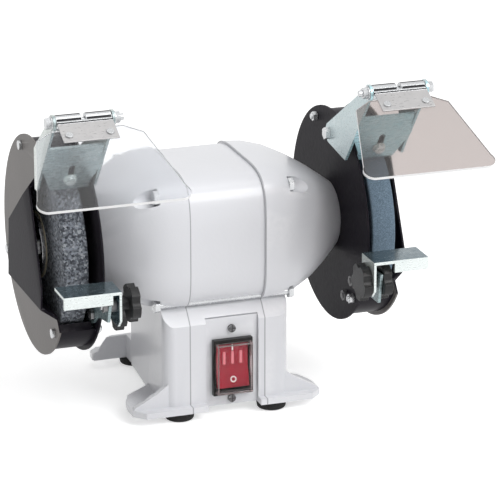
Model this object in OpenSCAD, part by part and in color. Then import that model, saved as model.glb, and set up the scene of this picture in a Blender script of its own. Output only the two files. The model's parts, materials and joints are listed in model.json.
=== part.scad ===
// Bench grinder with two wheels, sheet-steel wheel guards, tool rests and hinged eye shields.
// X runs along the spindle to the operator's right, -Y points to the operator, +Z is up.
// The origin lies directly below the middle of the spindle, on the underside of the castings.

/* [Wheels] */
// Diameter of a grinding wheel
wheel_d = 150; // [142:1:151]
// Width of a grinding wheel
wheel_w = 20; // [16:0.5:21]
// Distance from the middle of the machine to the middle of each wheel
wheel_x = 127.5; // [127:0.1:128.5]
// Diameter of the spindle where a wheel sits
spindle_d = 12.7; // [10:0.1:13]
// Diameter of the wheel flanges
flange_d = 50; // [44:1:54]
// Thickness of a wheel flange
flange_t = 4; // [3:0.5:4]
// Thickness of the paper washer beside a wheel
blotter_t = 0.5; // [0.3:0.1:0.8]

/* [Spindle and motor] */
// Height of the spindle above the underside of the castings
axis_h = 133; // [131:0.5:136]
// Diameter of the bearing seat on the shaft
bearing_bore = 15; // [14:1:17]
// Outer diameter of a bearing
bearing_od = 35; // [32:1:38]
// Width of a bearing
bearing_w = 11; // [9:1:12]
// Distance from the middle of the machine to the middle of a bearing
bearing_x = 96; // [94:0.5:97]
// Diameter of the stator pack
stator_d = 103.6; // [96:0.2:104]
// Length of the stator pack
stator_l = 44; // [36:1:52]
// Diameter of the rotor
rotor_d = 55; // [48:1:58]
// Air gap between rotor and stator
air_gap = 0.5; // [0.3:0.1:1]

/* [Motor housing] */
// Distance from the middle to the joint between the castings
seam_x = 31; // [28:0.5:32]
// Half depth of the motor barrel
barrel_half_depth = 65; // [63:0.5:68]
// Height of the barrel top above the spindle
barrel_rise = 58.5; // [57:0.5:62]
// Depth of the barrel bottom below the spindle
barrel_drop = 53; // [53:0.5:56]
// How far the end bells stand proud of the middle casting
seam_step = 1.8; // [1:0.1:2.5]
// Clearance between mating parts
fit_gap = 0.2; // [0.1:0.05:0.3]
// Running clearance of a pin or shaft, on the radius
run_gap = 0.05; // [0.02:0.01:0.1]

/* [Pedestal and base] */
// Half width of the pedestal at the front
pedestal_half_w = 52.5; // [50:0.5:54]
// Half width of the pedestal at the back
pedestal_back_w = 45; // [44:0.5:50]
// Half depth of the pedestal
pedestal_half_d = 62; // [60.5:0.5:64]
// Height of the pedestal walls
pedestal_h = 72; // [70:1:76]
// Wall thickness of the castings
cast_wall = 4; // [3:0.5:5]
// Radius of the pedestal's upright corners
corner_r = 9; // [5:0.5:12]
// How far the base stands out in front of the pedestal
front_overhang = 7; // [5:0.5:9]
// How far the base reaches behind the pedestal
back_overhang = 29; // [26:0.5:31]
// Distance of a front bench-bolt hole from the middle, across the machine
lug_x = 69; // [67:0.5:71]
// Distance of a back bench-bolt hole from the middle, across the machine
back_lug_x = 63; // [61:0.5:65]
// Distance of a bench-bolt hole from the base's front or back edge
lug_inset = 20.5; // [19:0.5:22]
// Diameter of a bench-bolt hole
lug_hole_d = 7; // [6:0.5:8.5]
// Thickness of a lug
lug_t = 5; // [4:0.5:7]
// Distance of a front foot from the middle, across the machine
foot_x = 39; // [38:0.5:40]
// Distance of a back foot from the middle, across the machine
back_foot_x = 36; // [35:0.5:38]
// Distance of a front foot's middle inside the pedestal's front face
front_foot_inset = 6; // [5:0.5:7]
// Distance of a back foot's middle behind the pedestal
back_foot_out = 15; // [13:0.5:15.5]
// Diameter of a rubber foot
foot_d = 24.5; // [20:0.5:26]
// Height of a rubber foot
foot_h = 7; // [6:0.5:9]

/* [Switch] */
// Distance of the switch from the middle, to the right
switch_x = 4; // [2:0.5:5]
// Height of the middle of the switch
switch_z = 34; // [32:0.5:36]
// Width of the switch bezel
bezel_w = 33; // [30:0.5:34]
// Height of the switch bezel
bezel_h = 47; // [44:0.5:48]
// Width of the rocker
rocker_w = 26; // [24:0.5:27]
// Height of the rocker
rocker_h = 35; // [33:0.5:36]
// Angle between the rocker's two positions
rocker_swing = 14; // [10:1:16]
// Depth of the panel recess in the front wall
recess_depth = 5; // [4:0.5:5.5]

/* [Wheel guards] */
// Radius of a wheel guard
guard_r = 88; // [86:0.5:90]
// Distance from the motor-side plate of a guard to the middle of its wheel
plate_to_wheel = 18.8; // [18.5:0.1:19.2]
// Width of a guard between its outer faces
guard_w = 32.8; // [32.4:0.1:34]
// Thickness of the guard's steel sheet
guard_t = 1.5; // [1:0.1:1.6]
// Radius of the outside of the guard's band
band_r = 84.5; // [84:0.1:85]
// How far the cover's pressed dome stands out
dome_h = 11.5; // [11:0.5:14]

/* [Tool rests] */
// Distance of the top of a tool rest below the spindle
rest_below = 6; // [5:0.5:8]
// Distance of the rest's back edge in front of the spindle
rest_back = 88.6; // [88.5:0.1:92]
// Depth of a tool rest, front to back
rest_depth = 27; // [26:0.5:28]
// Width of a tool rest
rest_w = 46; // [44:0.5:48]
// Thickness of a tool rest
rest_t = 2.5; // [2:0.25:3]
// Thickness of the arm that carries a tool rest
arm_t = 2.4; // [2:0.1:2.8]
// How far a tool rest can be drawn out
rest_travel = 6; // [4:0.5:7]
// Radius of a star knob over its lobes
knob_r = 15; // [13:0.5:15.5]
// Thickness of a star knob
knob_t = 7; // [6:0.5:8]

/* [Eye shields] */
// Distance of the shield's hinge in front of the spindle
hinge_y = 98; // [96:0.5:100]
// Height of the shield's hinge above the spindle
hinge_z = 128; // [126:0.5:130]
// Half length of the hinge barrels
hinge_half = 21.8; // [20.5:0.1:22]
// Diameter of the hinge pin
pin_d = 5; // [4:0.5:5.5]
// Outer diameter of a hinge barrel
barrel_d = 9; // [8.5:0.5:10]
// Angle of the eye shield below level
shield_tilt = 26; // [20:1:32]
// Length of the eye shield
shield_l = 85; // [75:1:95]
// Width of the eye shield at its hinge end
shield_top_w = 84; // [80:1:94]
// Width of the eye shield at its free end
shield_low_w = 118; // [110:1:124]
// How much narrower the right eye shield is on its outer side
right_shield_cut = 9; // [0:0.5:12]
// Thickness of the eye shield
shield_t = 2.5; // [2:0.1:3]
// Thickness of the bracket's steel sheet
bracket_t = 2; // [1.5:0.1:2.2]
// How far the spark plate slides up its slot
spark_travel = 13; // [8:0.5:13]

/* [Hidden] */
$fn = 72;
eps = 0.05;

// colours
c_cast = [0.86, 0.86, 0.88];
c_zinc = [0.74, 0.79, 0.78];
c_guard = [0.27, 0.26, 0.27];
c_black = [0.09, 0.09, 0.10];
c_steel = [0.70, 0.71, 0.73];
c_stone = [0.45, 0.50, 0.53];
c_clear = [0.85, 0.87, 0.86, 0.4];
c_copper = [0.72, 0.43, 0.25];

// spindle stack, from the motor outwards
wheel_r = wheel_d / 2;
wheel_in = wheel_x - wheel_w / 2;
wheel_out = wheel_x + wheel_w / 2;
flange_face = wheel_in - blotter_t;
hub_l = 6;
shoulder_x = flange_face - hub_l;
outer_flange_x = wheel_out + blotter_t;
nut_x = outer_flange_x + flange_t;
nut_t = 6.5;
nut_af = 19;
spindle_end = nut_x + nut_t + 1;
spindle_r = spindle_d / 2;
seat_r = bearing_bore / 2;

// guards
guard_x = wheel_x - plate_to_wheel;
guard_out = guard_x + guard_w;
cover_in = guard_out - guard_t;
plate_in = guard_x + guard_t;
nose_face = guard_x - fit_gap;
cover_bolt_r = (wheel_r + band_r) / 2 - 0.2;
cover_bolt_angles = [224, 340, 68];
bracket_bolt_y = -12.5;
bracket_bolt_z = 71.5;
guard_screw_r = 20.5;
lip_angle = 218;
brow_angle = 122;

// castings
bolt_seat = seam_x + 23;
base_front = -pedestal_half_d - front_overhang;
plate_front = front_foot_inset + foot_d / 2 + 1 - pedestal_half_d;
base_back = pedestal_half_d + back_overhang;
lug_holes = [[lug_x, base_front + lug_inset], [back_lug_x, base_back - lug_inset + 10]];
cavity_r = stator_d / 2 + 0.1;
bolt_y = 52;
bolt_z = 44.5;
hollow_h = pedestal_h + 1;
floor_t = 1.2;
recess_floor = pedestal_half_d - recess_depth;
recess_half_w = 22;
recess_top = 76;
panel_t = 2;
panel_screw_z = [6, 65.5];

// tool rest: the table's flange hangs on the motor side, and the arm lies inside the guard
rest_z = axis_h - rest_below;
rest_in = wheel_x - 24.1;
rest_front = rest_back + rest_depth;
side_t = 2;
flange_out = rest_in + side_t;
arm_in = plate_in + 0.15;
arm_out = arm_in + arm_t;
stud_r = 3;
collar_r = 5.5;

// stud places, in (Y, Z): the arm's own fixings and the table's clamp on each side
arm_screw = [-41.5, axis_h - 57.7];
arm_screw_right = [-58, axis_h - 40];
arm_knob_at = [-68, axis_h - 39];
rest_stud_left = [11 - rest_front, rest_z - 13.5];
rest_stud_right = [15.2 - rest_front, rest_z - 20];

// shield bracket: a channel whose two walls carry the hinge pin
ear_gap = 0.4;
wall_off = hinge_half + ear_gap;
hinge_pos = [wheel_x, -hinge_y, axis_h + hinge_z];
plate_angle = 56;
plate_len = 82;
plate_low = 32;
spark_y = -52;
spark_z = 61;

// ---------------------------------------------------------------- helpers

// turns a drawing in (Y, Z) into a plate that starts at x and is t thick
module slab(x, t) {
    translate([x, 0, 0]) rotate([90, 0, 90]) linear_extrude(t) children();
}

// the same, with the drawing's origin on the spindle
module slab_axis(x, t) {
    translate([0, 0, axis_h]) slab(x, t) children();
}

// a round bar along X from x0 to x1 at the given y and z
module bar(x0, x1, r, y = 0, z = axis_h) {
    translate([x0, y, z]) rotate([0, 90, 0]) cylinder(h = x1 - x0, r = r);
}

// a solid of revolution about the spindle, from (radius, x) points
module turned(points) {
    translate([0, 0, axis_h]) rotate([0, 90, 0]) rotate_extrude($fn = 96) polygon(points);
}

// a ring about the spindle
module ring(x0, x1, r0, r1) {
    turned([[r0, x0], [r1, x0], [r1, x1], [r0, x1]]);
}

// a hexagonal nut or bolt head along X
module hex_x(x0, x1, af, y, z) {
    translate([x0, y, z]) rotate([0, 90, 0]) cylinder(h = x1 - x0, d = af / cos(30), $fn = 6);
}

// draws its children on the right, or mirrored on the left
module side(left) {
    if (left) mirror([1, 0, 0]) children();
    else children();
}

// draws its children on both sides
module both_sides() {
    children();
    mirror([1, 0, 0]) children();
}

// draws its children at the four feet
module at_feet() {
    both_sides() {
        translate([foot_x, front_foot_inset - pedestal_half_d, 0]) children();
        translate([back_foot_x, pedestal_half_d + back_foot_out, 0]) children();
    }
}

function polar(r, a) = [r * cos(a), r * sin(a)];

// ---------------------------------------------------------------- castings

// rounded-square outline of the motor barrel; a and b are its half sizes and n its squareness
function barrel_outline(a, up, down, n) = [
    for (i = [0:71])
        let (t = i * 5, c = cos(t), s = sin(t), b = s > 0 ? up : down)
        [a * sign(c) * pow(abs(c), 2 / n), b * sign(s) * pow(abs(s), 2 / n)]
];

// middle casting's barrel seen from the side, a step smaller than the bells
module barrel_2d() {
    s = seam_step;
    translate([0, axis_h])
        polygon(barrel_outline(barrel_half_depth - s, barrel_rise - s, barrel_drop - s, 4.6));
}

// pedestal seen from the side, narrowing into the waist under the barrel
module pedestal_2d() {
    d = pedestal_half_d;
    polygon([[-d, 0], [d, 0], [d, pedestal_h], [d - 8, pedestal_h + 9.5], [30, axis_h - 30],
        [-30, axis_h - 30], [8 - d, pedestal_h + 9.5], [-d, pedestal_h]]);
}

// one end bell, lofted through rounded-square sections that end in the round nose
bell_sections = [
    [0, 1, 1, 4.6], [0.2, 0.985, 0.985, 4.5], [0.4, 0.925, 0.925, 4.2], [0.6, 0.80, 0.81, 3.6],
    [0.78, 0.65, 0.67, 2.9], [0.91, 0.51, 0.54, 2.3], [1, 0.42, 0.46, 2]
];

module bell() {
    length = nose_face - seam_x;
    hull() {
        for (s = bell_sections) {
            slab_axis(seam_x + (length - 0.1) * s[0], 0.1)
                polygon(barrel_outline(barrel_half_depth * s[1], barrel_rise * s[2],
                    barrel_drop * (s[2] + (1 - s[2]) * 0.12), s[3]));
        }
    }
}

// half width of the pedestal at a given y; it narrows towards the back
function width_at(y) = pedestal_half_w
    + (pedestal_back_w - pedestal_half_w) * (y + pedestal_half_d) / (2 * pedestal_half_d);

// plan of the right half of the pedestal, with round corners and grown by -inset
module pedestal_plan(inset, r) {
    d = pedestal_half_d - inset;
    lean = atan((pedestal_half_w - pedestal_back_w) / (2 * pedestal_half_d));
    front = [width_at(-d) - inset - r, r - d];
    back = [width_at(d) - inset - r, d - r];
    reach = r * [cos(lean), sin(lean)];
    polygon([[0, -d], [front[0], -d], front + reach, back + reach, [back[0], d], [0, d]]);
    translate(front) circle(r);
    translate(back) circle(r);
}

// upright part of the pedestal outside the seam
module pedestal_end() {
    intersection() {
        slab(seam_x, pedestal_half_w - seam_x + 1) pedestal_2d();
        linear_extrude(axis_h) pedestal_plan(0, corner_r);
    }
}

// outline of the front lug seen from above
module front_lug_2d() {
    x = lug_x;
    f = -pedestal_half_d - front_overhang;
    polygon([[seam_x, f], [x + 1, f], [x + 10, f + 9], [x + 10, f + 24], [x + 8.6, f + 33],
            [x + 3.5, f + 45], [pedestal_half_w + 2, f + 59], [pedestal_half_w - 3, f + 64],
            [seam_x, f + 64]]);
}

// outline of the back lug and the base's back edge seen from above
module back_lug_2d() {
    x = back_lug_x;
    f = pedestal_half_d + back_overhang;
    polygon([[seam_x, f], [x + 2, f], [x + 9, f - 7], [x + 10, f - lug_inset + 4], [x + 8, pedestal_half_d + 10],
        [pedestal_back_w - 4, pedestal_half_d + 10], [pedestal_back_w - 4, pedestal_half_d - 8],
        [seam_x, pedestal_half_d - 8]]);
}

// lug with the low web that falls from the pedestal's wall to its edge
module front_lug() {
    w = pedestal_half_w;
    linear_extrude(lug_t) front_lug_2d();
    intersection() {
        linear_extrude(40) front_lug_2d();
        translate([0, -pedestal_half_d + 7, 0]) rotate([90, 0, 0]) linear_extrude(5)
            polygon([[seam_x, 0], [lug_x + 12, 0], [lug_x + 8, lug_t + 2], [w + 6, 17], [w - 6, 26],
                [seam_x, 26]]);
    }
}

// back lug with the tall fin in front of its hole
module back_lug() {
    w = pedestal_back_w;
    d = pedestal_half_d;
    linear_extrude(lug_t) back_lug_2d();
    translate([0, d + 13.5, 0]) rotate([90, 0, 0]) linear_extrude(3.5)
        polygon([[seam_x, 0], [w + 27, 0], [w + 28, 6.3], [w + 23.5, 8], [w + 19.5, 15], [w + 16, 19.5],
            [w - 4, 20], [seam_x, 20]]);
    translate([w - 6, d - 6, 0]) cube([5, 19, 20]);
}

// holes shared by the castings
module through_bolt_holes(x0, x1) {
    for (sy = [-1, 1]) {
        for (sz = [-1, 1]) bar(x0, x1, 3.2, sy * bolt_y, axis_h + sz * bolt_z);
    }
}

module end_casting() {
    color(c_cast) difference() {
        union() {
            bell();
            pedestal_end();
            front_lug();
            back_lug();
        }
        // space for the stator's end windings, narrowing to the bearing
        turned([[0, seam_x - 1], [cavity_r, seam_x - 1], [cavity_r, 52], [30, 84], [30, 86], [0, 86]]);
        bar(85, bearing_x + bearing_w / 2, bearing_od / 2 + 0.02);
        bar(85, nose_face + 1, seat_r + 2);
        // hollow pedestal, open below for the base plate
        translate([0, 0, floor_t]) linear_extrude(hollow_h - floor_t) pedestal_plan(cast_wall, 5);
        translate([0, 0, -1]) linear_extrude(floor_t + 1 + eps) intersection() {
            pedestal_plan(cast_wall, 5);
            translate([0, plate_front]) square([pedestal_half_w, 2 * pedestal_half_d]);
        }
        through_bolt_holes(seam_x - 1, bolt_seat + 6);
        // pockets for the heads of the through bolts
        for (sy = [-1, 1]) {
            for (sz = [-1, 1]) bar(bolt_seat, nose_face + 1, 7, sy * bolt_y, axis_h + sz * bolt_z);
        }
        // bench-bolt holes with a flat spot above them, and the holes of the back feet
        for (p = lug_holes) {
            translate([p[0], p[1], -1]) cylinder(h = 40, d = lug_hole_d);
            translate([p[0], p[1], lug_t]) cylinder(h = 40, d = lug_hole_d + 9);
        }
        translate([back_foot_x, pedestal_half_d + back_foot_out, -1]) cylinder(h = 40, r = 2.1);
        translate([foot_x, front_foot_inset - pedestal_half_d, -1]) cylinder(h = 12, r = 2.1);
        guard_screw_holes(nose_face - 10, nose_face + 1, 2.1);
    }
    // floor and boss for the front foot's screw
    color(c_cast) difference() {
        linear_extrude(cast_wall) intersection() {
            pedestal_plan(cast_wall - 0.5, 5.5);
            translate([seam_x, -pedestal_half_d])
                square([pedestal_half_w, pedestal_half_d + plate_front]);
        }
        translate([foot_x, front_foot_inset - pedestal_half_d, -1]) cylinder(h = 12, r = 2.1);
    }
    color(c_cast) translate([foot_x, front_foot_inset - pedestal_half_d, floor_t]) foot_boss();
}

module foot_boss() {
    difference() {
        cylinder(h = 16, r = 5.5);
        translate([0, 0, -1]) cylinder(h = 14, r = 2.1);
    }
}

module guard_screw_holes(x0, x1, r) {
    for (a = [90, 210, 330]) {
        p = polar(guard_screw_r, a);
        bar(x0, x1, r, p[0], axis_h + p[1]);
    }
}

module centre_housing() {
    color(c_cast) difference() {
        union() {
            slab(-seam_x, 2 * seam_x) {
                barrel_2d();
                pedestal_2d();
            }
            translate([-seam_x, base_front, 0]) cube([2 * seam_x, base_back - base_front, lug_t]);
        }
        bar(-seam_x - 1, seam_x + 1, cavity_r);
        translate([-seam_x - 1, -recess_floor + cast_wall, floor_t])
            cube([2 * seam_x + 2, pedestal_half_d - cast_wall + recess_floor - cast_wall,
                hollow_h - floor_t]);
        translate([-seam_x - 1, plate_front, -1])
            cube([2 * seam_x + 2, pedestal_half_d - cast_wall - plate_front, floor_t + 1 + eps]);
        through_bolt_holes(-seam_x - 1, seam_x + 1);
        // recess for the switch panel, and the window behind it
        translate([switch_x - recess_half_w, base_front - 1, -1])
            cube([2 * recess_half_w, 1 - base_front - recess_floor, recess_top + 1]);
        translate([switch_x - bezel_w / 2 + 2, -pedestal_half_d, switch_z - bezel_h / 2 + 2])
            cube([bezel_w - 4, 20, bezel_h - 4]);
        for (z = panel_screw_z) {
            translate([switch_x, -recess_floor + 3.5, z]) rotate([90, 0, 0])
                cylinder(h = 10, r = 1.6);
        }
        // cord inlet in the back wall
        translate([0, pedestal_half_d - cast_wall - 1, 24]) rotate([-90, 0, 0])
            cylinder(h = cast_wall + 2, r = 7.1);
    }
    // floor in front of the base plate
    color(c_cast) translate([-seam_x, -recess_floor + cast_wall - 0.5, 0])
        cube([2 * seam_x, recess_floor - cast_wall + 0.5 + plate_front, cast_wall]);
}

module base_plate() {
    color(c_steel) difference() {
        linear_extrude(floor_t - 0.05) {
            pedestal_plan(cast_wall + fit_gap, 4.8);
            mirror([1, 0]) pedestal_plan(cast_wall + fit_gap, 4.8);
        }
        // the front edge stops behind the feet
        translate([-pedestal_half_w, -pedestal_half_d, -1])
            cube([2 * pedestal_half_w, pedestal_half_d + plate_front + fit_gap, 5]);
    }
}

// ---------------------------------------------------------------- feet and fasteners

module rubber_feet() {
    r = foot_d / 2;
    color(c_black) at_feet() translate([0, 0, -foot_h]) rotate_extrude()
        polygon([[2.4, foot_h - 2.5], [5.5, foot_h - 2.5], [5.5, 0], [r - 2, 0], [r - 0.6, 1],
            [r, foot_h - 1.5], [r, foot_h], [2.4, foot_h]]);
}

module foot_screws() {
    color(c_steel) at_feet() translate([0, 0, -2.5]) {
        translate([0, 0, -2.4]) cylinder(h = 2.4, r = 4.4);
        cylinder(h = 7.5, r = 2);
    }
}

module housing_bolts() {
    color(c_steel) for (sy = [-1, 1]) {
        for (sz = [-1, 1]) {
            y = sy * bolt_y;
            z = axis_h + sz * bolt_z;
            bar(-bolt_seat, bolt_seat, 3, y, z);
            hex_x(bolt_seat, bolt_seat + 4, 10, y, z);
            hex_x(-bolt_seat - 4.5, -bolt_seat, 10, y, z);
        }
    }
}

// ---------------------------------------------------------------- switch

module switch_plate() {
    w = recess_half_w - fit_gap;
    color(c_cast) difference() {
        translate([switch_x - w, -recess_floor - panel_t, 0.5])
            cube([2 * w, panel_t - 0.02, recess_top - 1 - 0.5]);
        translate([switch_x - bezel_w / 2 + 2, -recess_floor - 5, switch_z - bezel_h / 2 + 2])
            cube([bezel_w - 4, 10, bezel_h - 4]);
        for (z = panel_screw_z) {
            translate([switch_x, -recess_floor + 1, z]) rotate([90, 0, 0]) cylinder(h = 6, r = 1.9);
        }
    }
}

module switch_plate_screws() {
    color(c_steel) for (z = panel_screw_z) {
        translate([switch_x, -recess_floor - panel_t, z]) rotate([90, 0, 0]) difference() {
            union() {
                translate([0, 0, 0]) cylinder(h = 2.2, r = 3.2);
                translate([0, 0, -panel_t - 3]) cylinder(h = panel_t + 3, r = 1.5);
            }
            translate([-3, -0.4, 1.4]) cube([6, 0.8, 2]);
            translate([-0.4, -3, 1.4]) cube([0.8, 6, 2]);
        }
    }
}

bezel_back = -recess_floor - panel_t;
bezel_proud = 5;
rocker_pivot_y = bezel_back + 1;

// bezel whose sides dip in the middle to bare the rocker, with the switch case behind it
module switch_body() {
    well_w = rocker_w + 1;
    well_h = rocker_h + 3;
    color(c_black) difference() {
        union() {
            translate([switch_x - bezel_w / 2, 0, 0]) rotate([90, 0, 90])
                linear_extrude(bezel_w) difference() {
                    translate([bezel_back - bezel_proud, switch_z - bezel_h / 2])
                        square([bezel_proud - 0.05, bezel_h]);
                    translate([bezel_back - bezel_proud - 36, switch_z]) circle(r = 38.5);
                }
            translate([switch_x - bezel_w / 2 + 2.2, bezel_back - 1, switch_z - bezel_h / 2 + 2.2])
                cube([bezel_w - 4.4, 25, bezel_h - 4.4]);
        }
        translate([switch_x - well_w / 2, bezel_back - bezel_proud - 1, switch_z - well_h / 2])
            cube([well_w, bezel_proud + 15, well_h]);
    }
    // pivot stubs for the rocker
    color(c_black) for (sx = [-1, 1]) {
        bar(switch_x + sx * well_w / 2 - (sx > 0 ? 1.6 : 0.1),
            switch_x + sx * well_w / 2 + (sx > 0 ? 0.1 : 1.6), 1.5, rocker_pivot_y, switch_z);
    }
}

// rocker with two flat pads that meet over its pivot, drawn in its off position
module switch_rocker() {
    h = rocker_h / 2;
    color([0.80, 0.10, 0.10]) difference() {
        translate([switch_x, rocker_pivot_y, switch_z]) rotate([-rocker_swing / 2, 0, 0])
            translate([-rocker_w / 2, 0, 0]) rotate([90, 0, 90]) linear_extrude(rocker_w)
                polygon([[-5.5, -h], [-3.2, 0], [-5.5, h], [-1, h - 0.5], [5, 8], [5, -8], [-1, 0.5 - h]]);
        for (sx = [-1, 1]) {
            bar(switch_x + (sx > 0 ? rocker_w / 2 - 2 : -rocker_w / 2 - 1),
                switch_x + (sx > 0 ? rocker_w / 2 + 1 : 2 - rocker_w / 2), 1.5 + run_gap,
                rocker_pivot_y, switch_z);
        }
    }
}

// clear splash cover that clips over the bezel
module switch_cover() {
    y0 = bezel_back - bezel_proud;
    w = rocker_w + 3.6;
    h = rocker_h + 7;
    color(c_clear) difference() {
        translate([switch_x - w / 2, y0 - 6, switch_z - h / 2]) cube([w, 6 - 0.02, h]);
        translate([switch_x - w / 2 + 1, y0 - 5, switch_z - h / 2 + 1]) cube([w - 2, 10, h - 2]);
    }
}

// ---------------------------------------------------------------- electrical parts

module capacitor() {
    r = 16;
    color([0.86, 0.87, 0.84]) translate([-28, 30, floor_t + r]) rotate([0, 90, 0]) rotate_extrude()
        polygon([[0, 0], [r - 1.5, 0], [r, 1.5], [r, 52], [4, 52], [4, 56], [0, 56]]);
}

module terminal_block() {
    color([0.93, 0.92, 0.86]) difference() {
        translate([-18, -6, floor_t]) cube([36, 12, 13]);
        for (i = [0:3]) {
            translate([-13.5 + 9 * i, 0, 7]) cylinder(h = 10, r = 2.4);
        }
    }
}

module cord_gland() {
    y = pedestal_half_d;
    color(c_black) translate([0, y, 24]) rotate([-90, 0, 0]) difference() {
        union() {
            translate([0, 0, -cast_wall - 3]) cylinder(h = cast_wall + 3, r = 7);
            cylinder(h = 5, d = 19 / cos(30), $fn = 6);
            translate([0, 0, 5]) cylinder(h = 5, r1 = 9, r2 = 6.2);
        }
        translate([0, 0, -cast_wall - 4]) cylinder(h = 20, r = 3.8);
    }
}

module stator_core() {
    inner = rotor_d / 2 + air_gap;
    color([0.42, 0.42, 0.44]) difference() {
        ring(-stator_l / 2, stator_l / 2, inner, stator_d / 2);
        for (a = [0:15:345]) {
            p = polar(inner + 8, a);
            bar(-stator_l, stator_l, 2.2, p[0], axis_h + p[1]);
        }
    }
}

module stator_windings() {
    inner = rotor_d / 2 + 3;
    color(c_copper) both_sides() turned([[inner, stator_l / 2], [stator_d / 2 - 9, stator_l / 2],
        [stator_d / 2 - 6, stator_l / 2 + 8], [stator_d / 2 - 11, stator_l / 2 + 14],
        [inner + 2, stator_l / 2 + 12]]);
}

// ---------------------------------------------------------------- spindle

ball_r = 2.95;
pitch_r = (bearing_bore + bearing_od) / 4;

module race(r0, r1) {
    translate([0, 0, axis_h]) rotate([0, 90, 0]) rotate_extrude($fn = 96) difference() {
        translate([r0, bearing_x - bearing_w / 2]) square([r1 - r0, bearing_w]);
        translate([pitch_r, bearing_x]) circle(ball_r + 0.1);
    }
}

module bearing_outer_rings() {
    color(c_steel) both_sides() race(pitch_r + 1.7, bearing_od / 2);
}

module bearing_inner_rings() {
    color(c_steel) both_sides() race(seat_r + 0.01, pitch_r - 1.7);
}

module bearing_balls() {
    color(c_steel) both_sides() for (a = [0:45:315]) {
        p = polar(pitch_r, a);
        translate([bearing_x, p[0], axis_h + p[1]]) sphere(ball_r, $fn = 32);
    }
}

module spindle_shaft() {
    back = bearing_x - bearing_w / 2;
    color(c_steel) turned([[0, -spindle_end], [spindle_r - 1, -spindle_end],
        [spindle_r, 1 - spindle_end], [spindle_r, -shoulder_x], [seat_r, -shoulder_x],
        [seat_r, -back], [seat_r + 2, -back], [seat_r + 2, -60], [seat_r + 2.5, -60],
        [seat_r + 2.5, 60], [seat_r + 2, 60], [seat_r + 2, back], [seat_r, back],
        [seat_r, shoulder_x], [spindle_r, shoulder_x], [spindle_r, spindle_end - 1],
        [spindle_r - 1, spindle_end], [0, spindle_end]]);
}

module rotor_core() {
    l = stator_l / 2;
    r = rotor_d / 2;
    color([0.55, 0.55, 0.57]) turned([[seat_r + 2.51, -l], [r - 5, -l], [r - 5, -l - 5], [r, -l - 5],
        [r, l + 5], [r - 5, l + 5], [r - 5, l], [seat_r + 2.51, l]]);
}

module inner_flanges() {
    r = flange_d / 2;
    s = spindle_r + 0.02;
    color(c_steel) both_sides() turned([[s, shoulder_x], [11, shoulder_x],
        [11, flange_face - flange_t], [r - 1, flange_face - flange_t], [r, flange_face - flange_t + 1],
        [r, flange_face], [r - 8, flange_face], [r - 8, flange_face - 0.8], [s, flange_face - 0.8]]);
}

module outer_flanges() {
    r = flange_d / 2;
    s = spindle_r + 0.02;
    x = outer_flange_x;
    color(c_steel) both_sides() turned([[s, x + 0.8], [r - 8, x + 0.8], [r - 8, x], [r, x],
        [r, x + flange_t - 1], [r - 1, x + flange_t], [s, x + flange_t]]);
}

module spindle_nuts() {
    color(c_steel) both_sides() difference() {
        hex_x(nut_x, nut_x + nut_t, nut_af, 0, axis_h);
        bar(nut_x - 1, nut_x + nut_t + 1, spindle_r + 0.02);
    }
}

module wheel_blotters() {
    r = flange_d / 2 + 2;
    color([0.85, 0.83, 0.76]) both_sides() {
        ring(flange_face, wheel_in, spindle_r + 0.3, r);
        ring(wheel_out, outer_flange_x, spindle_r + 0.3, r);
    }
}

module wheel(left) {
    color(c_stone) side(left) turned([[spindle_r + 0.03, wheel_in], [wheel_r - 1, wheel_in],
        [wheel_r, wheel_in + 1], [wheel_r, wheel_out - 1], [wheel_r - 1, wheel_out],
        [spindle_r + 0.03, wheel_out]]);
}

// ---------------------------------------------------------------- guards

// wedge of the YZ plane in front of the spindle, between two angles
module wedge_2d(a0, a1, r) {
    polygon([[0, 0], polar(r, a0), polar(r * 1.2, (a0 + a1) / 2), polar(r, a1)]);
}

module guard(left) {
    fixing = left ? arm_knob_at : arm_screw_right;
    lip = polar(band_r, lip_angle);
    color(c_guard) side(left) difference() {
        union() {
            slab_axis(guard_x, guard_t) circle(guard_r, $fn = 128);
            difference() {
                ring(plate_in - eps, cover_in - 0.05, band_r - guard_t, band_r);
                slab_axis(plate_in, guard_w) wedge_2d(brow_angle, lip_angle, 140);
            }
            // folded lip at the lower end of the opening
            slab_axis(arm_out + 0.5, cover_in - arm_out - 0.8) polygon([lip,
                polar(band_r - 6.5, lip_angle - 1), polar(band_r - 6.5, lip_angle),
                polar(band_r, lip_angle + 1.2)]);
        }
        bar(guard_x - 1, plate_in + 1, 14);
        guard_screw_holes(guard_x - 1, plate_in + 1, 2.6);
        for (a = cover_bolt_angles) {
            p = polar(cover_bolt_r, a);
            bar(guard_x - 1, plate_in + 1, 2.4, p[0], axis_h + p[1]);
        }
        bar(guard_x - 1, plate_in + 1, 2.8, bracket_bolt_y, axis_h + bracket_bolt_z);
        bar(guard_x - 1, plate_in + 1, stud_r + 0.1, fixing[0], fixing[1]);
        bar(guard_x - 1, plate_in + 1, 2.4, arm_screw[0], arm_screw[1]);
    }
}

// front edge of the cover, drawn from the brow down to the lip
module cover_opening_2d() {
    r = guard_r;
    polygon([polar(r + 2, brow_angle + 1), [-25, 57], [-59, -18], [-60, -34],
        polar(r + 2, lip_angle - 3), [-r - 30, -62], [-r - 30, r + 20], [-70, r + 30]]);
}

// foot of the pressed dome, grown by g
function dome_foot(g) = [[31 + g, 13 + 0.6 * g], [36 + g, -35 - g], [-86, -33 - g], [-86, 101 + 1.2 * g]];

// level top of the dome, over the spindle nut: the dome falls from its front side to the cover's mouth
function dome_top(g) = [[31 + g, 13 + 0.6 * g], [36 + g, -35 - g], [-60, -34 - g], [-14, 47 + 1.1 * g]];

module dome_solid(x0, h, g) {
    intersection() {
        hull() {
            slab_axis(x0, 0.05) polygon(dome_foot(8 + g));
            slab_axis(x0 + h - 0.05, 0.05) polygon(dome_top(g));
        }
        bar(x0 - 1, x0 + h + 1, guard_r - 7 + g);
    }
}

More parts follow.
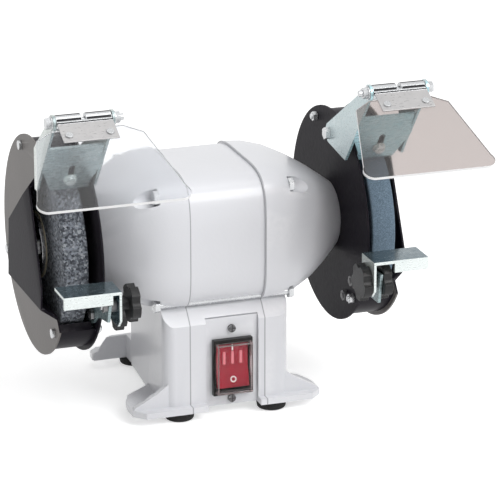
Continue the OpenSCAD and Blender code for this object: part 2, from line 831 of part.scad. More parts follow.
module guard_cover(left) {
    color(c_guard) side(left) difference() {
        union() {
            slab_axis(cover_in, guard_t) circle(guard_r, $fn = 128);
            dome_solid(guard_out - eps, dome_h + eps, 0);
        }
        dome_solid(cover_in - eps, dome_h + eps, -guard_t);
        slab_axis(cover_in - 5, dome_h + 10) cover_opening_2d();
        for (a = cover_bolt_angles) {
            p = polar(cover_bolt_r, a);
            bar(cover_in - 1, guard_out + 1, 2.4, p[0], axis_h + p[1]);
        }
    }
}

// long bolts with sleeves that space the cover from the guard
module cover_bolts() {
    color(c_steel) for (left = [false, true]) side(left) for (a = cover_bolt_angles) {
        p = polar(cover_bolt_r, a);
        bar(guard_x - 5.5, guard_out + 0.1, 2.2, p[0], axis_h + p[1]);
        bar(plate_in + 0.05, cover_in - 0.05, 3, p[0], axis_h + p[1]);
        bar(guard_out + 0.05, guard_out + 2.6, 3.8, p[0], axis_h + p[1]);
        hex_x(guard_x - 4.2, guard_x - 0.2, 7, p[0], axis_h + p[1]);
    }
}

module guard_screws() {
    color(c_steel) both_sides() for (a = [90, 210, 330]) {
        p = polar(guard_screw_r, a);
        bar(nose_face - 9, plate_in + 0.1, 2, p[0], axis_h + p[1]);
        bar(plate_in + 0.05, plate_in + 1.6, 3.8, p[0], axis_h + p[1]);
    }
}

// ---------------------------------------------------------------- tool rests

// arm fixed inside the guard's plate, coming out of the front opening to carry the rest
module rest_arm(left) {
    stud = left ? rest_stud_left : rest_stud_right;
    second = left ? arm_knob_at : arm_screw_right;
    color(c_zinc) side(left) difference() {
        slab(arm_in, arm_t) difference() {
            translate([0, axis_h]) polygon([[-rest_front + 4, -18], [-rest_front + 9, left ? -33 : -43],
                [-80, left ? -37 : -43], [-72, -43], [-67, -47], [-60, -49], [-46, -65],
                [-35, -62], [-37, -50], [-52, -31], [-88, -18]]);
            translate(stud) circle(stud_r + run_gap);
            translate(second) circle(stud_r + 0.1);
            translate(arm_screw) circle(2.4);
            // clears the spacer on the cover's lowest bolt
            translate(polar(cover_bolt_r, cover_bolt_angles[0]) + [0, axis_h]) circle(3.4);
        }
    }
}

// screws that fix the arms, with nuts on the motor side of the guards
module arm_screw_at(at) {
    bar(guard_x - 4.5, arm_out + 0.1, 2.2, at[0], at[1]);
    bar(arm_out + 0.05, arm_out + 2.2, 4, at[0], at[1]);
    hex_x(guard_x - 3.6, guard_x - 0.05, 8, at[0], at[1]);
}

module arm_screws() {
    color(c_steel) {
        both_sides() arm_screw_at(arm_screw);
        arm_screw_at(arm_screw_right);
    }
}

// flat table with a folded front lip and a slotted side flange
module tool_rest(left) {
    stud = left ? rest_stud_left : rest_stud_right;
    lip_from = left ? rest_in + 7 : rest_in + 17.5;
    low = rest_z - 30;
    color(c_zinc) side(left) union() {
        translate([rest_in, -rest_front, rest_z - rest_t]) cube([rest_w, rest_depth, rest_t]);
        translate([lip_from, -rest_front, rest_z - 10])
            cube([rest_in + rest_w - lip_from, rest_t, 10 - rest_t + eps]);
        slab(rest_in, side_t) difference() {
            polygon([[-rest_front, rest_z - eps], [-rest_back, rest_z - eps],
                [-rest_back, low + 2], [-rest_back - 3, low], [6 - rest_front, low],
                [-rest_front, low + 6]]);
            translate(stud) circle(stud_r + 0.2);
            translate(stud + [rest_travel, 0]) circle(stud_r + 0.2);
            translate(stud - [0, stud_r + 0.2]) square([rest_travel, 2 * stud_r + 0.4]);
        }
    }
}

// collars that keep the table's flange clear of the guard, and the nut on the left arm
module rest_collars() {
    color(c_steel) for (k = [0, 1]) {
        at = k == 0 ? rest_stud_left : rest_stud_right;
        side(k == 0) difference() {
            bar(flange_out + 0.1, arm_in - 0.05, collar_r, at[0], at[1]);
            bar(flange_out - 1, arm_in + 1, stud_r + run_gap, at[0], at[1]);
        }
    }
    color(c_steel) side(true) {
        difference() {
            hex_x(arm_out + 0.05, arm_out + 3.5, 10, rest_stud_left[0], rest_stud_left[1]);
            bar(arm_out - 1, arm_out + 5, stud_r + run_gap, rest_stud_left[0], rest_stud_left[1]);
        }
        difference() {
            hex_x(arm_out + 0.05, arm_out + 3, 8, arm_knob_at[0], arm_knob_at[1]);
            bar(arm_out - 1, arm_out + 5, stud_r - 0.1 + run_gap, arm_knob_at[0], arm_knob_at[1]);
        }
    }
}

// five-lobed knob whose face nearest the motor is at x0
module star_knob(x0, at) {
    translate([x0, at[0], at[1]]) rotate([0, 90, 0]) difference() {
        cylinder(h = knob_t, r = knob_r);
        for (a = [36:72:324]) {
            rotate(a) translate([knob_r + 3.4, 0, -1]) cylinder(h = knob_t + 2, r = 6);
        }
    }
}

// knob that clamps the left arm on the guard
module left_arm_knob() {
    at = arm_knob_at;
    x0 = guard_x - 19.7;
    side(true) {
        color(c_black) {
            star_knob(x0, at);
            bar(x0 + knob_t - eps, guard_x - 0.05, 5, at[0], at[1]);
        }
        color(c_steel) bar(x0 + 1, arm_out + 4, stud_r - 0.1, at[0], at[1]);
    }
}

// start of the knob that clamps a table, measured along the spindle
function rest_knob_from(left) = left ? rest_in - 14.6 : rest_in - 0.5 - knob_t;

// fixed studs that carry the tables; each table's slot slides along its stud
module rest_studs() {
    color(c_steel) for (left = [true, false]) {
        at = left ? rest_stud_left : rest_stud_right;
        side(left) bar(rest_knob_from(left) + 2.2, left ? arm_out + 5 : arm_out + knob_t - 2.2,
            stud_r, at[0], at[1]);
    }
}

// knob that turns on its stud and clamps the table against the collar
module rest_knob(left) {
    at = left ? rest_stud_left : rest_stud_right;
    x0 = rest_knob_from(left);
    color(c_black) side(left) difference() {
        union() {
            star_knob(x0, at);
            bar(x0 + knob_t - eps, rest_in - 0.05, 4.6, at[0], at[1]);
        }
        bar(x0 + 2, rest_in + 1, stud_r + run_gap, at[0], at[1]);
    }
}

// second knob on the right-hand stud, inside the guard's mouth
module right_inner_knob() {
    at = rest_stud_right;
    color(c_black) side(false) difference() {
        star_knob(arm_out + 0.3, at);
        bar(arm_out - 1, arm_out + 0.3 + knob_t - 2, stud_r + run_gap, at[0], at[1]);
    }
}

// ---------------------------------------------------------------- eye shields

// walls of the bracket, drawn in (Y, Z) with the origin on the spindle
module bracket_wall_2d(inner) {
    h = [-hinge_y, hinge_z];
    foot = [bracket_bolt_y, bracket_bolt_z];
    low = [spark_y, spark_z];
    if (inner) {
        polygon([foot + [2, -8], foot + [6, 6], [-50, 104], h + [6, 2], h + [-3, -5], low + [-7, 10],
            low + [3, -2]]);
        translate(foot) circle(8);
    } else {
        polygon([low + [6, 0], low + [6, 33], h + [6, 2], h + [-3, -5], low + [-7, 10], low]);
    }
    translate(h) circle(6.5);
}

// sheet between the walls, in its own plane: u across the machine, v up the sheet
module bracket_sheet_2d() {
    a = wall_off + bracket_t;
    polygon([[-16.5, 0], [14.5, 0], [a, 26], [a, 50], [-a, 50], [-a, 26], [-16.9, 9.5]]);
}

module shield_bracket(left) {
    color(c_zinc) side(left) difference() {
        union() {
            slab_axis(wheel_x - wall_off - bracket_t, bracket_t) bracket_wall_2d(true);
            slab_axis(wheel_x + wall_off, bracket_t) bracket_wall_2d(false);
            rotate_sheet(0) linear_extrude(bracket_t) bracket_sheet_2d();
        }
        bar(wheel_x - 40, wheel_x + 40, pin_d / 2 + 0.1, hinge_pos[1], hinge_pos[2]);
        bar(wheel_x - 40, wheel_x, 2.8, bracket_bolt_y, axis_h + bracket_bolt_z);
        // slot for the spark plate's screw
        rotate_sheet(-1) linear_extrude(bracket_t + 2) slot_2d(5.2, 12, 12 + spark_travel);
    }
}

module slot_2d(w, v0, v1) {
    translate([0, v0]) circle(d = w, $fn = 32);
    translate([0, v1]) circle(d = w, $fn = 32);
    translate([-w / 2, v0]) square([w, v1 - v0]);
}

// places a drawing on the bracket's sheet: X across, Y up the sheet, Z towards the operator
module rotate_sheet(lift) {
    translate([wheel_x, spark_y, axis_h + spark_z]) rotate([180 - plate_angle, 0, 0])
        translate([0, 0, lift]) children();
}

// bolt, spacer and nut that hold the bracket on the guard
module bracket_bolts() {
    x0 = wheel_x - wall_off - bracket_t;
    y = bracket_bolt_y;
    z = axis_h + bracket_bolt_z;
    color(c_steel) both_sides() {
        hex_x(x0 - 4.2, x0 - 0.02, 9, y, z);
        bar(x0 - 4, plate_in + 4.4, 2.5, y, z);
        bar(x0 + bracket_t + 0.02, guard_x - 0.02, 6, y, z);
        hex_x(plate_in + 0.05, plate_in + 4, 8, y, z);
    }
}

module spark_plate(left) {
    color(c_zinc) side(left) difference() {
        rotate_sheet(-bracket_t - 0.3) linear_extrude(bracket_t) translate([-13, -1.5]) square([26, 24]);
        rotate_sheet(-bracket_t - 1) linear_extrude(bracket_t + 2) translate([0, 12]) circle(2.1);
    }
}

module spark_screw(left) {
    color(c_steel) side(left) {
        rotate_sheet(bracket_t + 0.1) translate([0, 12, 0]) difference() {
            union() {
                cylinder(h = 0.8, r = 5.4);
                translate([0, 0, 0.7]) cylinder(h = 2.6, r = 4.2);
            }
            translate([-5, -0.5, 2.2]) cube([10, 1, 2]);
        }
        rotate_sheet(-bracket_t - 3) translate([0, 12, 0]) cylinder(h = 2 * bracket_t + 4, r = 2);
    }
}

module hinge_pin(left) {
    x0 = wheel_x - wall_off - bracket_t;
    x1 = wheel_x + wall_off + bracket_t;
    y = hinge_pos[1];
    z = hinge_pos[2];
    color(c_steel) side(left) {
        bar(x0 - 8, x1 + 2, pin_d / 2, y, z);
        hex_x(x0 - 5, x0 - 1, 8, y, z);
        bar(x0 - 1.05, x0 - 0.02, 5.5, y, z);
        hex_x(x1 + 1, x1 + 5, 8, y, z);
        bar(x1 + 0.02, x1 + 1.05, 5.5, y, z);
    }
}

// places a drawing in the shield's plane: X across, Y away from the hinge, Z out of the sheet
module in_shield(lift) {
    translate(hinge_pos) rotate([180 + shield_tilt, 0, 0]) translate([0, 0, lift]) children();
}

leaf_t = 1.2;
shield_start = 12.5;
shield_lift = -leaf_t;

module shield_hinge(left) {
    color(c_zinc) side(left) {
        for (s = [-1, 1]) {
            x0 = s > 0 ? wheel_x + 1.8 : wheel_x - hinge_half;
            difference() {
                union() {
                    bar(x0, x0 + hinge_half - 1.8, barrel_d / 2, hinge_pos[1], hinge_pos[2]);
                    in_shield(-barrel_d / 2) translate([s > 0 ? 1.8 : -hinge_half, 0, 0])
                        cube([hinge_half - 1.8, 6, leaf_t]);
                }
                bar(x0 - 1, x0 + hinge_half, pin_d / 2 + run_gap, hinge_pos[1], hinge_pos[2]);
            }
        }
        in_shield(-barrel_d / 2) linear_extrude(leaf_t) difference() {
            translate([-hinge_half, 5.9]) square([2 * hinge_half, 21]);
            for (s = [-1, 1]) translate([s * 16, 20]) circle(1.7);
        }
    }
}

// cut is how much narrower the shield is on its outer side
module shield_2d(cut) {
    a = shield_top_w / 2;
    b = shield_low_w / 2;
    ao = a - 0.8 * cut;
    bo = b - 1.2 * cut;
    s = shield_start;
    l = shield_l;
    r = 8;
    difference() {
        union() {
            polygon([[-a + 14, s], [ao - 14, s], [ao, s + 9], [bo - 0.4, s + l - r], [bo - r, s + l],
                [r - b, s + l], [0.4 - b, s + l - r], [-a, s + 9]]);
            for (x = [r - b, bo - r]) translate([x, s + l - r]) circle(r);
        }
        for (k = [-1, 1]) translate([k * 16, 20]) circle(1.7);
    }
}

module eye_shield(left) {
    color(c_clear) side(left) in_shield(-barrel_d / 2 + leaf_t + 0.02) linear_extrude(shield_t) {
        shield_2d(left ? 0 : right_shield_cut);
    }
}

module shield_rivets(left) {
    color(c_steel) side(left) for (k = [-1, 1]) {
        in_shield(-barrel_d / 2 - 1.3) translate([k * 16, 20, 0]) {
            cylinder(h = 1.28, r = 3);
            cylinder(h = leaf_t + shield_t + 1.5, r = 1.6);
            translate([0, 0, leaf_t + shield_t + 1.35]) cylinder(h = 1.3, r = 3);
        }
    }
}

// ---------------------------------------------------------------- drawing

centre_housing();
side(true) end_casting();  // left_end_casting
end_casting();  // right_end_casting
base_plate();
rubber_feet();
foot_screws();
housing_bolts();
switch_plate();
switch_plate_screws();
switch_body();
switch_rocker();
switch_cover();
capacitor();
terminal_block();
cord_gland();
stator_core();
stator_windings();
bearing_outer_rings();
bearing_inner_rings();
bearing_balls();
spindle_shaft();
rotor_core();
inner_flanges();
outer_flanges();
spindle_nuts();
wheel_blotters();
wheel(true);  // left_wheel
wheel(false);  // right_wheel
guard(true);  // left_guard
guard(false);  // right_guard
guard_cover(true);  // left_guard_cover
guard_cover(false);  // right_guard_cover
guard_screws();
cover_bolts();
rest_arm(true);  // left_rest_arm
rest_arm(false);  // right_rest_arm
tool_rest(true);  // left_tool_rest
tool_rest(false);  // right_tool_rest
arm_screws();
rest_collars();
left_arm_knob();
rest_knob(true);  // left_rest_knob
rest_knob(false);  // right_rest_knob
right_inner_knob();
rest_studs();
shield_bracket(true);  // left_shield_bracket
shield_bracket(false);  // right_shield_bracket
bracket_bolts();
spark_plate(true);  // left_spark_plate
spark_plate(false);  // right_spark_plate
spark_screw(true);  // left_spark_screw
spark_screw(false);  // right_spark_screw
hinge_pin(true);  // left_hinge_pin
hinge_pin(false);  // right_hinge_pin
shield_hinge(true);  // left_shield_hinge
shield_hinge(false);  // right_shield_hinge
shield_rivets(true);  // left_shield_rivets
shield_rivets(false);  // right_shield_rivets
eye_shield(true);  // left_eye_shield
eye_shield(false);  // right_eye_shield
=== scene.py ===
# %% [markdown]
# # A bench grinder, dressed around its fixed frame
# The grinder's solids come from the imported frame: castings, guards, brackets, wheels and screws
# all stand at their real places, in metres. This lesson gives each of them the surface that the
# real piece has. Nearly everything that shows from outside also gets round edges, and the shield
# hinges and the rocker's ribs and marks are modelled anew. A frame piece is never moved: where one
# needs softer edges, a new piece takes its place.

# %% Load the frame
import json
from math import atan2, cos, degrees, radians, sin

import bpy
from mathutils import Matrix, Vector

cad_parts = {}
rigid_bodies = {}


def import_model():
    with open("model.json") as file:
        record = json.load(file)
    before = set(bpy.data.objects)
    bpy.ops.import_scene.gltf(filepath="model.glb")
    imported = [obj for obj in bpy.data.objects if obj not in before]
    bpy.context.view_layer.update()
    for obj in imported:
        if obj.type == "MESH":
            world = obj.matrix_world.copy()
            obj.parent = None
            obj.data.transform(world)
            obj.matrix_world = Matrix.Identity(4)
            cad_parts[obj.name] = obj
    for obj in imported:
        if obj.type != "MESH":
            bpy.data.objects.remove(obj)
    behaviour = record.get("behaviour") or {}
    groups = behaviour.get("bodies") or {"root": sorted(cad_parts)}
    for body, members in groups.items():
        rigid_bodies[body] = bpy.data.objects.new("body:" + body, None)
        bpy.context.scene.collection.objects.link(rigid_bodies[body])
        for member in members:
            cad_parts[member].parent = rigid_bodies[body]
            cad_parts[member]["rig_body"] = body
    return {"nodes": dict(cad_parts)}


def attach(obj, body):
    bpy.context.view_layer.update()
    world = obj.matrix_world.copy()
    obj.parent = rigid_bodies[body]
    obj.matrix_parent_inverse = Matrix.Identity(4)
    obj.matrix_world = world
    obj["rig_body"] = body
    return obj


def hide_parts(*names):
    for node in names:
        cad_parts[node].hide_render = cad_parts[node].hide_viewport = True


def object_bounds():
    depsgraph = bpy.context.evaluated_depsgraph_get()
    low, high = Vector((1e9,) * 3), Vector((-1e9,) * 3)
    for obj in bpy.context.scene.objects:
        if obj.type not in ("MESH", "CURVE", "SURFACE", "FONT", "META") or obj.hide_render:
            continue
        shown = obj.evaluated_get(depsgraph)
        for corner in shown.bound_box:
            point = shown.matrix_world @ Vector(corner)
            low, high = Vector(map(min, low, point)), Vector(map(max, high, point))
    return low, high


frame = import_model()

cad_box = [list(corner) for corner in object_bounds()]
nodes = frame["nodes"]
print("frame pieces:", len(nodes))

# %% [markdown]
# ## Small helpers
# Operators act on whatever is selected, so each step starts by selecting nothing and then one
# object. Lengths below are written in millimetres, as on a drawing, and turned into metres.

# %% Selecting and shaping a piece
MM = 0.001


def only(obj):
    """Selects one object and makes it the active one."""
    bpy.ops.object.select_all(action="DESELECT")
    obj.select_set(True)
    bpy.context.view_layer.objects.active = obj
    return obj


def settle(obj):
    """Puts the object's place and turn into its mesh, so that the object sits at the origin."""
    only(obj)
    bpy.ops.object.transform_apply(location=True, rotation=True, scale=True)
    return obj


def modifier(obj, kind, **settings):
    """Adds one modifier, sets it and applies it."""
    only(obj)
    bpy.ops.object.modifier_add(type=kind)
    step = obj.modifiers[-1]
    for key, value in settings.items():
        setattr(step, key, value)
    bpy.ops.object.modifier_apply(modifier=step.name)
    return obj


def smooth(obj, angle):
    """Shades soft across small angles, and keeps the edges that turn further sharp."""
    only(obj)
    bpy.ops.object.shade_smooth_by_angle(angle=radians(angle))
    return obj


def even_shading(obj):
    """Lets the large faces decide the shading, so that a bevel leaves the flats beside it flat."""
    return modifier(obj, "WEIGHTED_NORMAL", mode="FACE_AREA", weight=60, keep_sharp=True)


def joined(pieces):
    """Joins several meshes into one object."""
    only(pieces[0])
    for piece in pieces:
        piece.select_set(True)
    bpy.ops.object.join()
    return bpy.context.object


# %% Painting a piece and giving it its body
def paint(obj, material):
    """Gives every face one material."""
    obj.data.materials.clear()
    obj.data.materials.append(material)
    for face in obj.data.polygons:
        face.material_index = 0
    return obj


def refinish(piece, material, chosen):
    """Gives one more material to the faces whose middle (mm) and normal the rule picks."""
    piece.data.materials.append(material)
    spot = len(piece.data.materials) - 1
    count = 0
    for face in piece.data.polygons:
        if chosen(face.center / MM, face.normal):
            face.material_index = spot
            count += 1
    return count


def finish(piece, name, body, slot, *replaced):
    """Names a finished piece, lets it ride on its body, and hides the frame pieces that it
    replaces.
    """
    piece.name = piece.data.name = name
    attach(piece, body)
    if replaced:
        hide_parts(*replaced)
    return piece


# %% Shader nodes
def node(tree, kind, **values):
    """Adds a node. A value with a property's name sets the property, any other sets a socket."""
    made = tree.nodes.new(kind)
    for key, value in values.items():
        if hasattr(made, key):
            setattr(made, key, value)
        else:
            made.inputs[key.replace("_", " ")].default_value = value
    return made


def wire(tree, *links):
    """Joins sockets, each link written as node, output, node, input."""
    for source, output, target, entry in links:
        tree.links.new(source.outputs[output], target.inputs[entry])


def rgb(red, green, blue):
    """A colour that covers fully."""
    return (red, green, blue, 1.0)


WHITE = rgb(1.0, 1.0, 1.0)
print("helpers are ready, one millimetre is", MM, "metres")

# %% [markdown]
# ## The camera
# The machine is looked at from a little to its left and from above, with a long lens, so that
# parallel edges stay nearly parallel. The viewing direction is kept as two angles in radians,
# from which the camera's place and its turn both follow. That is easier to adjust than a place
# and three turns that have to agree.

# %% Camera
VIEW_TURN = 0.33511
VIEW_DROP = 0.32628
VIEW_AT = Vector((40.377, 0.0, 107.984)) * MM
VIEW_FAR = 2587.25 * MM
VIEW_WIDTH = radians(8.979)

view_line = Vector((sin(VIEW_TURN) * cos(VIEW_DROP), cos(VIEW_TURN) * cos(VIEW_DROP),
                    -sin(VIEW_DROP)))
bpy.ops.object.camera_add(location=VIEW_AT - VIEW_FAR * view_line)
camera = bpy.context.object
camera.name = "camera"
camera.rotation_euler = view_line.to_track_quat("-Z", "Y").to_euler()
camera.data.angle = VIEW_WIDTH
camera.data.clip_start = 0.05
bpy.context.scene.camera = camera
bpy.context.scene.view_settings.view_transform = "Standard"
print("camera stands at", [round(v, 3) for v in camera.location])

# %% [markdown]
# ## Floor, sky and lamps
# A plain pale floor carries the machine's soft shadow. The sky is a plain white room: what the
# camera, a shiny surface or clear plastic sees of it is white, while the light that it sheds is
# weaker. One broad lamp stands at the front right and high, so that the sides that face left
# fall into a soft shade and show the form of the castings. A second one fills in from above.

# %% Who looks: the camera, a shine or clear plastic
def looked_at(tree):
    """A socket that is 1 for rays from the camera, a shine or clear plastic, and 0 for light."""
    path = node(tree, "ShaderNodeLightPath")
    found = path.outputs["Is Camera Ray"]
    for name in ("Is Transmission Ray", "Is Glossy Ray"):
        either = node(tree, "ShaderNodeMath", operation="MAXIMUM")
        tree.links.new(found, either.inputs[0])
        tree.links.new(path.outputs[name], either.inputs[1])
        found = either.outputs[0]
    return found


# %% Sky
ROOM_LIGHT = 0.50

sky = bpy.data.worlds.new("white_room")
bpy.context.scene.world = sky
sky.use_nodes = True
tree = sky.node_tree
tree.nodes.clear()
level = node(tree, "ShaderNodeMapRange", To_Min=ROOM_LIGHT, To_Max=1.0)
glow = node(tree, "ShaderNodeBackground", Color=WHITE)
out = node(tree, "ShaderNodeOutputWorld")
tree.links.new(looked_at(tree), level.inputs["Value"])
wire(tree, (level, "Result", glow, "Strength"), (glow, "Background", out, "Surface"))
print("the room is white and sheds light of strength", ROOM_LIGHT)


# %% Lamps
LAMPS_LOOK_AT = Vector((0, 0, 0.13))


def lamp(name, turn, lift, far, size, watts):
    """A broad soft lamp that looks at the machine from a turn and a lift in degrees."""
    turn, lift = radians(turn), radians(lift)
    toward = Vector((sin(turn) * cos(lift), -cos(turn) * cos(lift), sin(lift)))
    bpy.ops.object.light_add(type="AREA", location=LAMPS_LOOK_AT + far * toward)
    light = bpy.context.object
    light.name = name
    light.data.shape = "SQUARE"
    light.data.size = size
    light.data.energy = watts
    light.rotation_euler = (-toward).to_track_quat("-Z", "Y").to_euler()
    print(name, "stands at", [round(v, 2) for v in light.location])
    return light


lamp("front_right_lamp", turn=34, lift=40, far=2.2, size=1.2, watts=26)
lamp("top_lamp", turn=-20, lift=80, far=2.2, size=1.6, watts=13)

# %% Floor
FLOOR_SIZE = 16
FLOOR_GAP = 0.05 * MM
FLOOR_GLOW = 0.52

bpy.ops.mesh.primitive_plane_add(size=FLOOR_SIZE, location=(0, 0, cad_box[0][2] - FLOOR_GAP))
floor = settle(bpy.context.object)
floor.name = "floor"
floor_paint = bpy.data.materials.new("floor_paint")
floor_paint.use_nodes = True
tree = floor_paint.node_tree
surface = tree.nodes["Principled BSDF"]
surface.inputs["Base Color"].default_value = rgb(0.86, 0.86, 0.86)
surface.inputs["Roughness"].default_value = 0.9
surface.inputs["Specular IOR Level"].default_value = 0.1
surface.inputs["Emission Color"].default_value = WHITE
glowing = node(tree, "ShaderNodeMath", operation="MULTIPLY")
glowing.inputs[1].default_value = FLOOR_GLOW
tree.links.new(looked_at(tree), glowing.inputs[0])
wire(tree, (glowing, "Value", surface, "Emission Strength"))
paint(floor, floor_paint)
print("the floor lies at", round(cad_box[0][2] / MM, 2), "mm")

# %% [markdown]
# ## Shared effects
# Six effects make the surfaces: the orange skin of sprayed enamel, slow changes of tone, the
# streaks of rolled metal, grit, the parting line of castings, and worn edges. Most of them return
# on many surfaces. Each is built once as a node group and set into a material with its own
# numbers, so that a change to it reaches them all. A group hands out only colour, roughness and
# a normal that change over the surface, and it reads Object coordinates, so that the pattern
# stays on its piece when the piece moves.

# %% Starting a node group
FLOAT, COLOUR, NORMAL = "NodeSocketFloat", "NodeSocketColor", "NodeSocketVector"


def new_group(name, inputs, outputs):
    """An empty shader node group with named inputs (name, kind, value) and outputs."""
    group = bpy.data.node_groups.new(name, "ShaderNodeTree")
    for label, kind, value in inputs:
        socket = group.interface.new_socket(name=label, in_out="INPUT", socket_type=kind)
        socket.default_value = value
    for label, kind in outputs:
        group.interface.new_socket(name=label, in_out="OUTPUT", socket_type=kind)
    return group, group.nodes.new("NodeGroupInput"), group.nodes.new("NodeGroupOutput")


# %% [markdown]
# ### Enamel skin
# Sprayed enamel dries with a faint ripple, and dust leaves tiny specks in it. Real bumps would
# need a very dense mesh, so two noise patterns bend the normal instead, one for each size.

# %% Enamel skin
enamel_skin, start, end = new_group(
    "enamel_skin",
    [("Ripple size", FLOAT, 420.0), ("Ripple", FLOAT, 0.10), ("Speck size", FLOAT, 2400.0),
     ("Speck", FLOAT, 0.03)],
    [("Normal", NORMAL)],
)
where = node(enamel_skin, "ShaderNodeTexCoord")
ripple = node(enamel_skin, "ShaderNodeTexNoise", Detail=2.0, Roughness=0.4)
speck = node(enamel_skin, "ShaderNodeTexNoise", Detail=1.0, Roughness=0.5)
first = node(enamel_skin, "ShaderNodeBump", Distance=0.0006)
second = node(enamel_skin, "ShaderNodeBump", Distance=0.0002)
wire(
    enamel_skin,
    (where, "Object", ripple, "Vector"), (start, "Ripple size", ripple, "Scale"),
    (where, "Object", speck, "Vector"), (start, "Speck size", speck, "Scale"),
    (start, "Ripple", first, "Strength"), (ripple, "Fac", first, "Height"),
    (start, "Speck", second, "Strength"), (speck, "Fac", second, "Height"),
    (first, "Normal", second, "Normal"), (second, "Normal", end, "Normal"),
)
print(enamel_skin.name, "has", len(enamel_skin.nodes), "nodes")

# %% [markdown]
# ### Tone drift
# No paint, plating or plastic has one even colour. Large soft clouds and small flecks of a second
# colour are mixed into the first, each with its own share.

# %% Tone drift
tone_drift, start, end = new_group(
    "tone_drift",
    [("Colour", COLOUR, rgb(0.7, 0.7, 0.7)), ("Second colour", COLOUR, rgb(0.5, 0.5, 0.5)),
     ("Cloud size", FLOAT, 14.0), ("Clouds", FLOAT, 0.2), ("Fleck size", FLOAT, 900.0),
     ("Flecks", FLOAT, 0.05)],
    [("Colour", COLOUR)],
)
where = node(tone_drift, "ShaderNodeTexCoord")
clouds = node(tone_drift, "ShaderNodeTexNoise", Detail=4.0, Roughness=0.55)
flecks = node(tone_drift, "ShaderNodeTexNoise", Detail=2.0, Roughness=0.6)
cloud_range = node(tone_drift, "ShaderNodeMapRange", From_Min=0.38, From_Max=0.68)
fleck_range = node(tone_drift, "ShaderNodeMapRange", From_Min=0.52, From_Max=0.70)
cloud_share = node(tone_drift, "ShaderNodeMath", operation="MULTIPLY")
fleck_share = node(tone_drift, "ShaderNodeMath", operation="MULTIPLY")
both = node(tone_drift, "ShaderNodeMath", operation="ADD", use_clamp=True)
blend = node(tone_drift, "ShaderNodeMix", data_type="RGBA")
wire(
    tone_drift,
    (where, "Object", clouds, "Vector"), (start, "Cloud size", clouds, "Scale"),
    (where, "Object", flecks, "Vector"), (start, "Fleck size", flecks, "Scale"),
    (clouds, "Fac", cloud_range, "Value"), (flecks, "Fac", fleck_range, "Value"),
    (cloud_range, "Result", cloud_share, 0), (start, "Clouds", cloud_share, 1),
    (fleck_range, "Result", fleck_share, 0), (start, "Flecks", fleck_share, 1),
    (cloud_share, 0, both, 0), (fleck_share, 0, both, 1), (both, 0, blend, "Factor"),
    (start, "Colour", blend, "A"), (start, "Second colour", blend, "B"),
    (blend, "Result", end, "Colour"),
)
print(tone_drift.name, "has", len(tone_drift.nodes), "nodes")

# %% [markdown]
# ### Metal streaks
# Rolled sheet and turned bar carry fine lines in one direction. A noise pattern is stretched along
# that direction, and drives the roughness and a very low bump, so that a highlight breaks up.

# %% Metal streaks
metal_streaks, start, end = new_group(
    "metal_streaks",
    [("Stretch", NORMAL, (1.0, 1.0, 1.0)), ("Size", FLOAT, 900.0), ("Smooth", FLOAT, 0.25),
     ("Rough", FLOAT, 0.45), ("Depth", FLOAT, 0.06)],
    [("Roughness", FLOAT), ("Normal", NORMAL)],
)
where = node(metal_streaks, "ShaderNodeTexCoord")
stretch = node(metal_streaks, "ShaderNodeVectorMath", operation="MULTIPLY")
streak = node(metal_streaks, "ShaderNodeTexNoise", Detail=3.0, Roughness=0.6)
spread = node(metal_streaks, "ShaderNodeMapRange", From_Min=0.3, From_Max=0.7)
bump = node(metal_streaks, "ShaderNodeBump", Distance=0.0002)
wire(
    metal_streaks,
    (where, "Object", stretch, 0), (start, "Stretch", stretch, 1), (stretch, 0, streak, "Vector"),
    (start, "Size", streak, "Scale"), (streak, "Fac", spread, "Value"),
    (start, "Smooth", spread, "To Min"), (start, "Rough", spread, "To Max"),
    (streak, "Fac", bump, "Height"), (start, "Depth", bump, "Strength"),
    (spread, "Result", end, "Roughness"), (bump, "Normal", end, "Normal"),
)
print(metal_streaks.name, "has", len(metal_streaks.nodes), "nodes")

# %% [markdown]
# ### Grit
# A grinding wheel is grains in a darker bond with open pores between them. Voronoi cells make the
# grains, each with its own tone, a few of them sparkle, and a noise pattern opens the pores.

# %% Grit
grit, start, end = new_group(
    "grit",
    [("Grain size", FLOAT, 900.0), ("Bond", COLOUR, rgb(0.1, 0.1, 0.1)),
     ("Grain", COLOUR, rgb(0.3, 0.3, 0.3)), ("Bright grain", COLOUR, rgb(0.6, 0.6, 0.6)),
     ("Depth", FLOAT, 0.6)],
    [("Colour", COLOUR), ("Normal", NORMAL)],
)
where = node(grit, "ShaderNodeTexCoord")
cells = node(grit, "ShaderNodeTexVoronoi", feature="F1")
pores = node(grit, "ShaderNodeTexNoise", Detail=3.0, Roughness=0.7)
split = node(grit, "ShaderNodeSeparateColor")
tones = node(grit, "ShaderNodeMix", data_type="RGBA")
sparkle = node(grit, "ShaderNodeMapRange", From_Min=0.80, From_Max=0.92)
bright = node(grit, "ShaderNodeMix", data_type="RGBA")
hollow = node(grit, "ShaderNodeMapRange", From_Min=0.50, From_Max=0.66)
dark = node(grit, "ShaderNodeMix", data_type="RGBA")
relief = node(grit, "ShaderNodeMath", operation="SUBTRACT")
bump = node(grit, "ShaderNodeBump", Distance=0.0009)
wire(
    grit,
    (where, "Object", cells, "Vector"), (start, "Grain size", cells, "Scale"),
    (where, "Object", pores, "Vector"), (start, "Grain size", pores, "Scale"),
    (cells, "Color", split, "Color"), (split, "Red", tones, "Factor"),
    (start, "Bond", tones, "A"), (start, "Grain", tones, "B"),
    (split, "Green", sparkle, "Value"), (sparkle, "Result", bright, "Factor"),
    (tones, "Result", bright, "A"), (start, "Bright grain", bright, "B"),
    (pores, "Fac", hollow, "Value"), (hollow, "Result", dark, "Factor"),
    (bright, "Result", dark, "A"), (start, "Bond", dark, "B"),
    (split, "Blue", relief, 0), (hollow, "Result", relief, 1), (relief, 0, bump, "Height"),
    (start, "Depth", bump, "Strength"), (dark, "Result", end, "Colour"),
    (bump, "Normal", end, "Normal"),
)
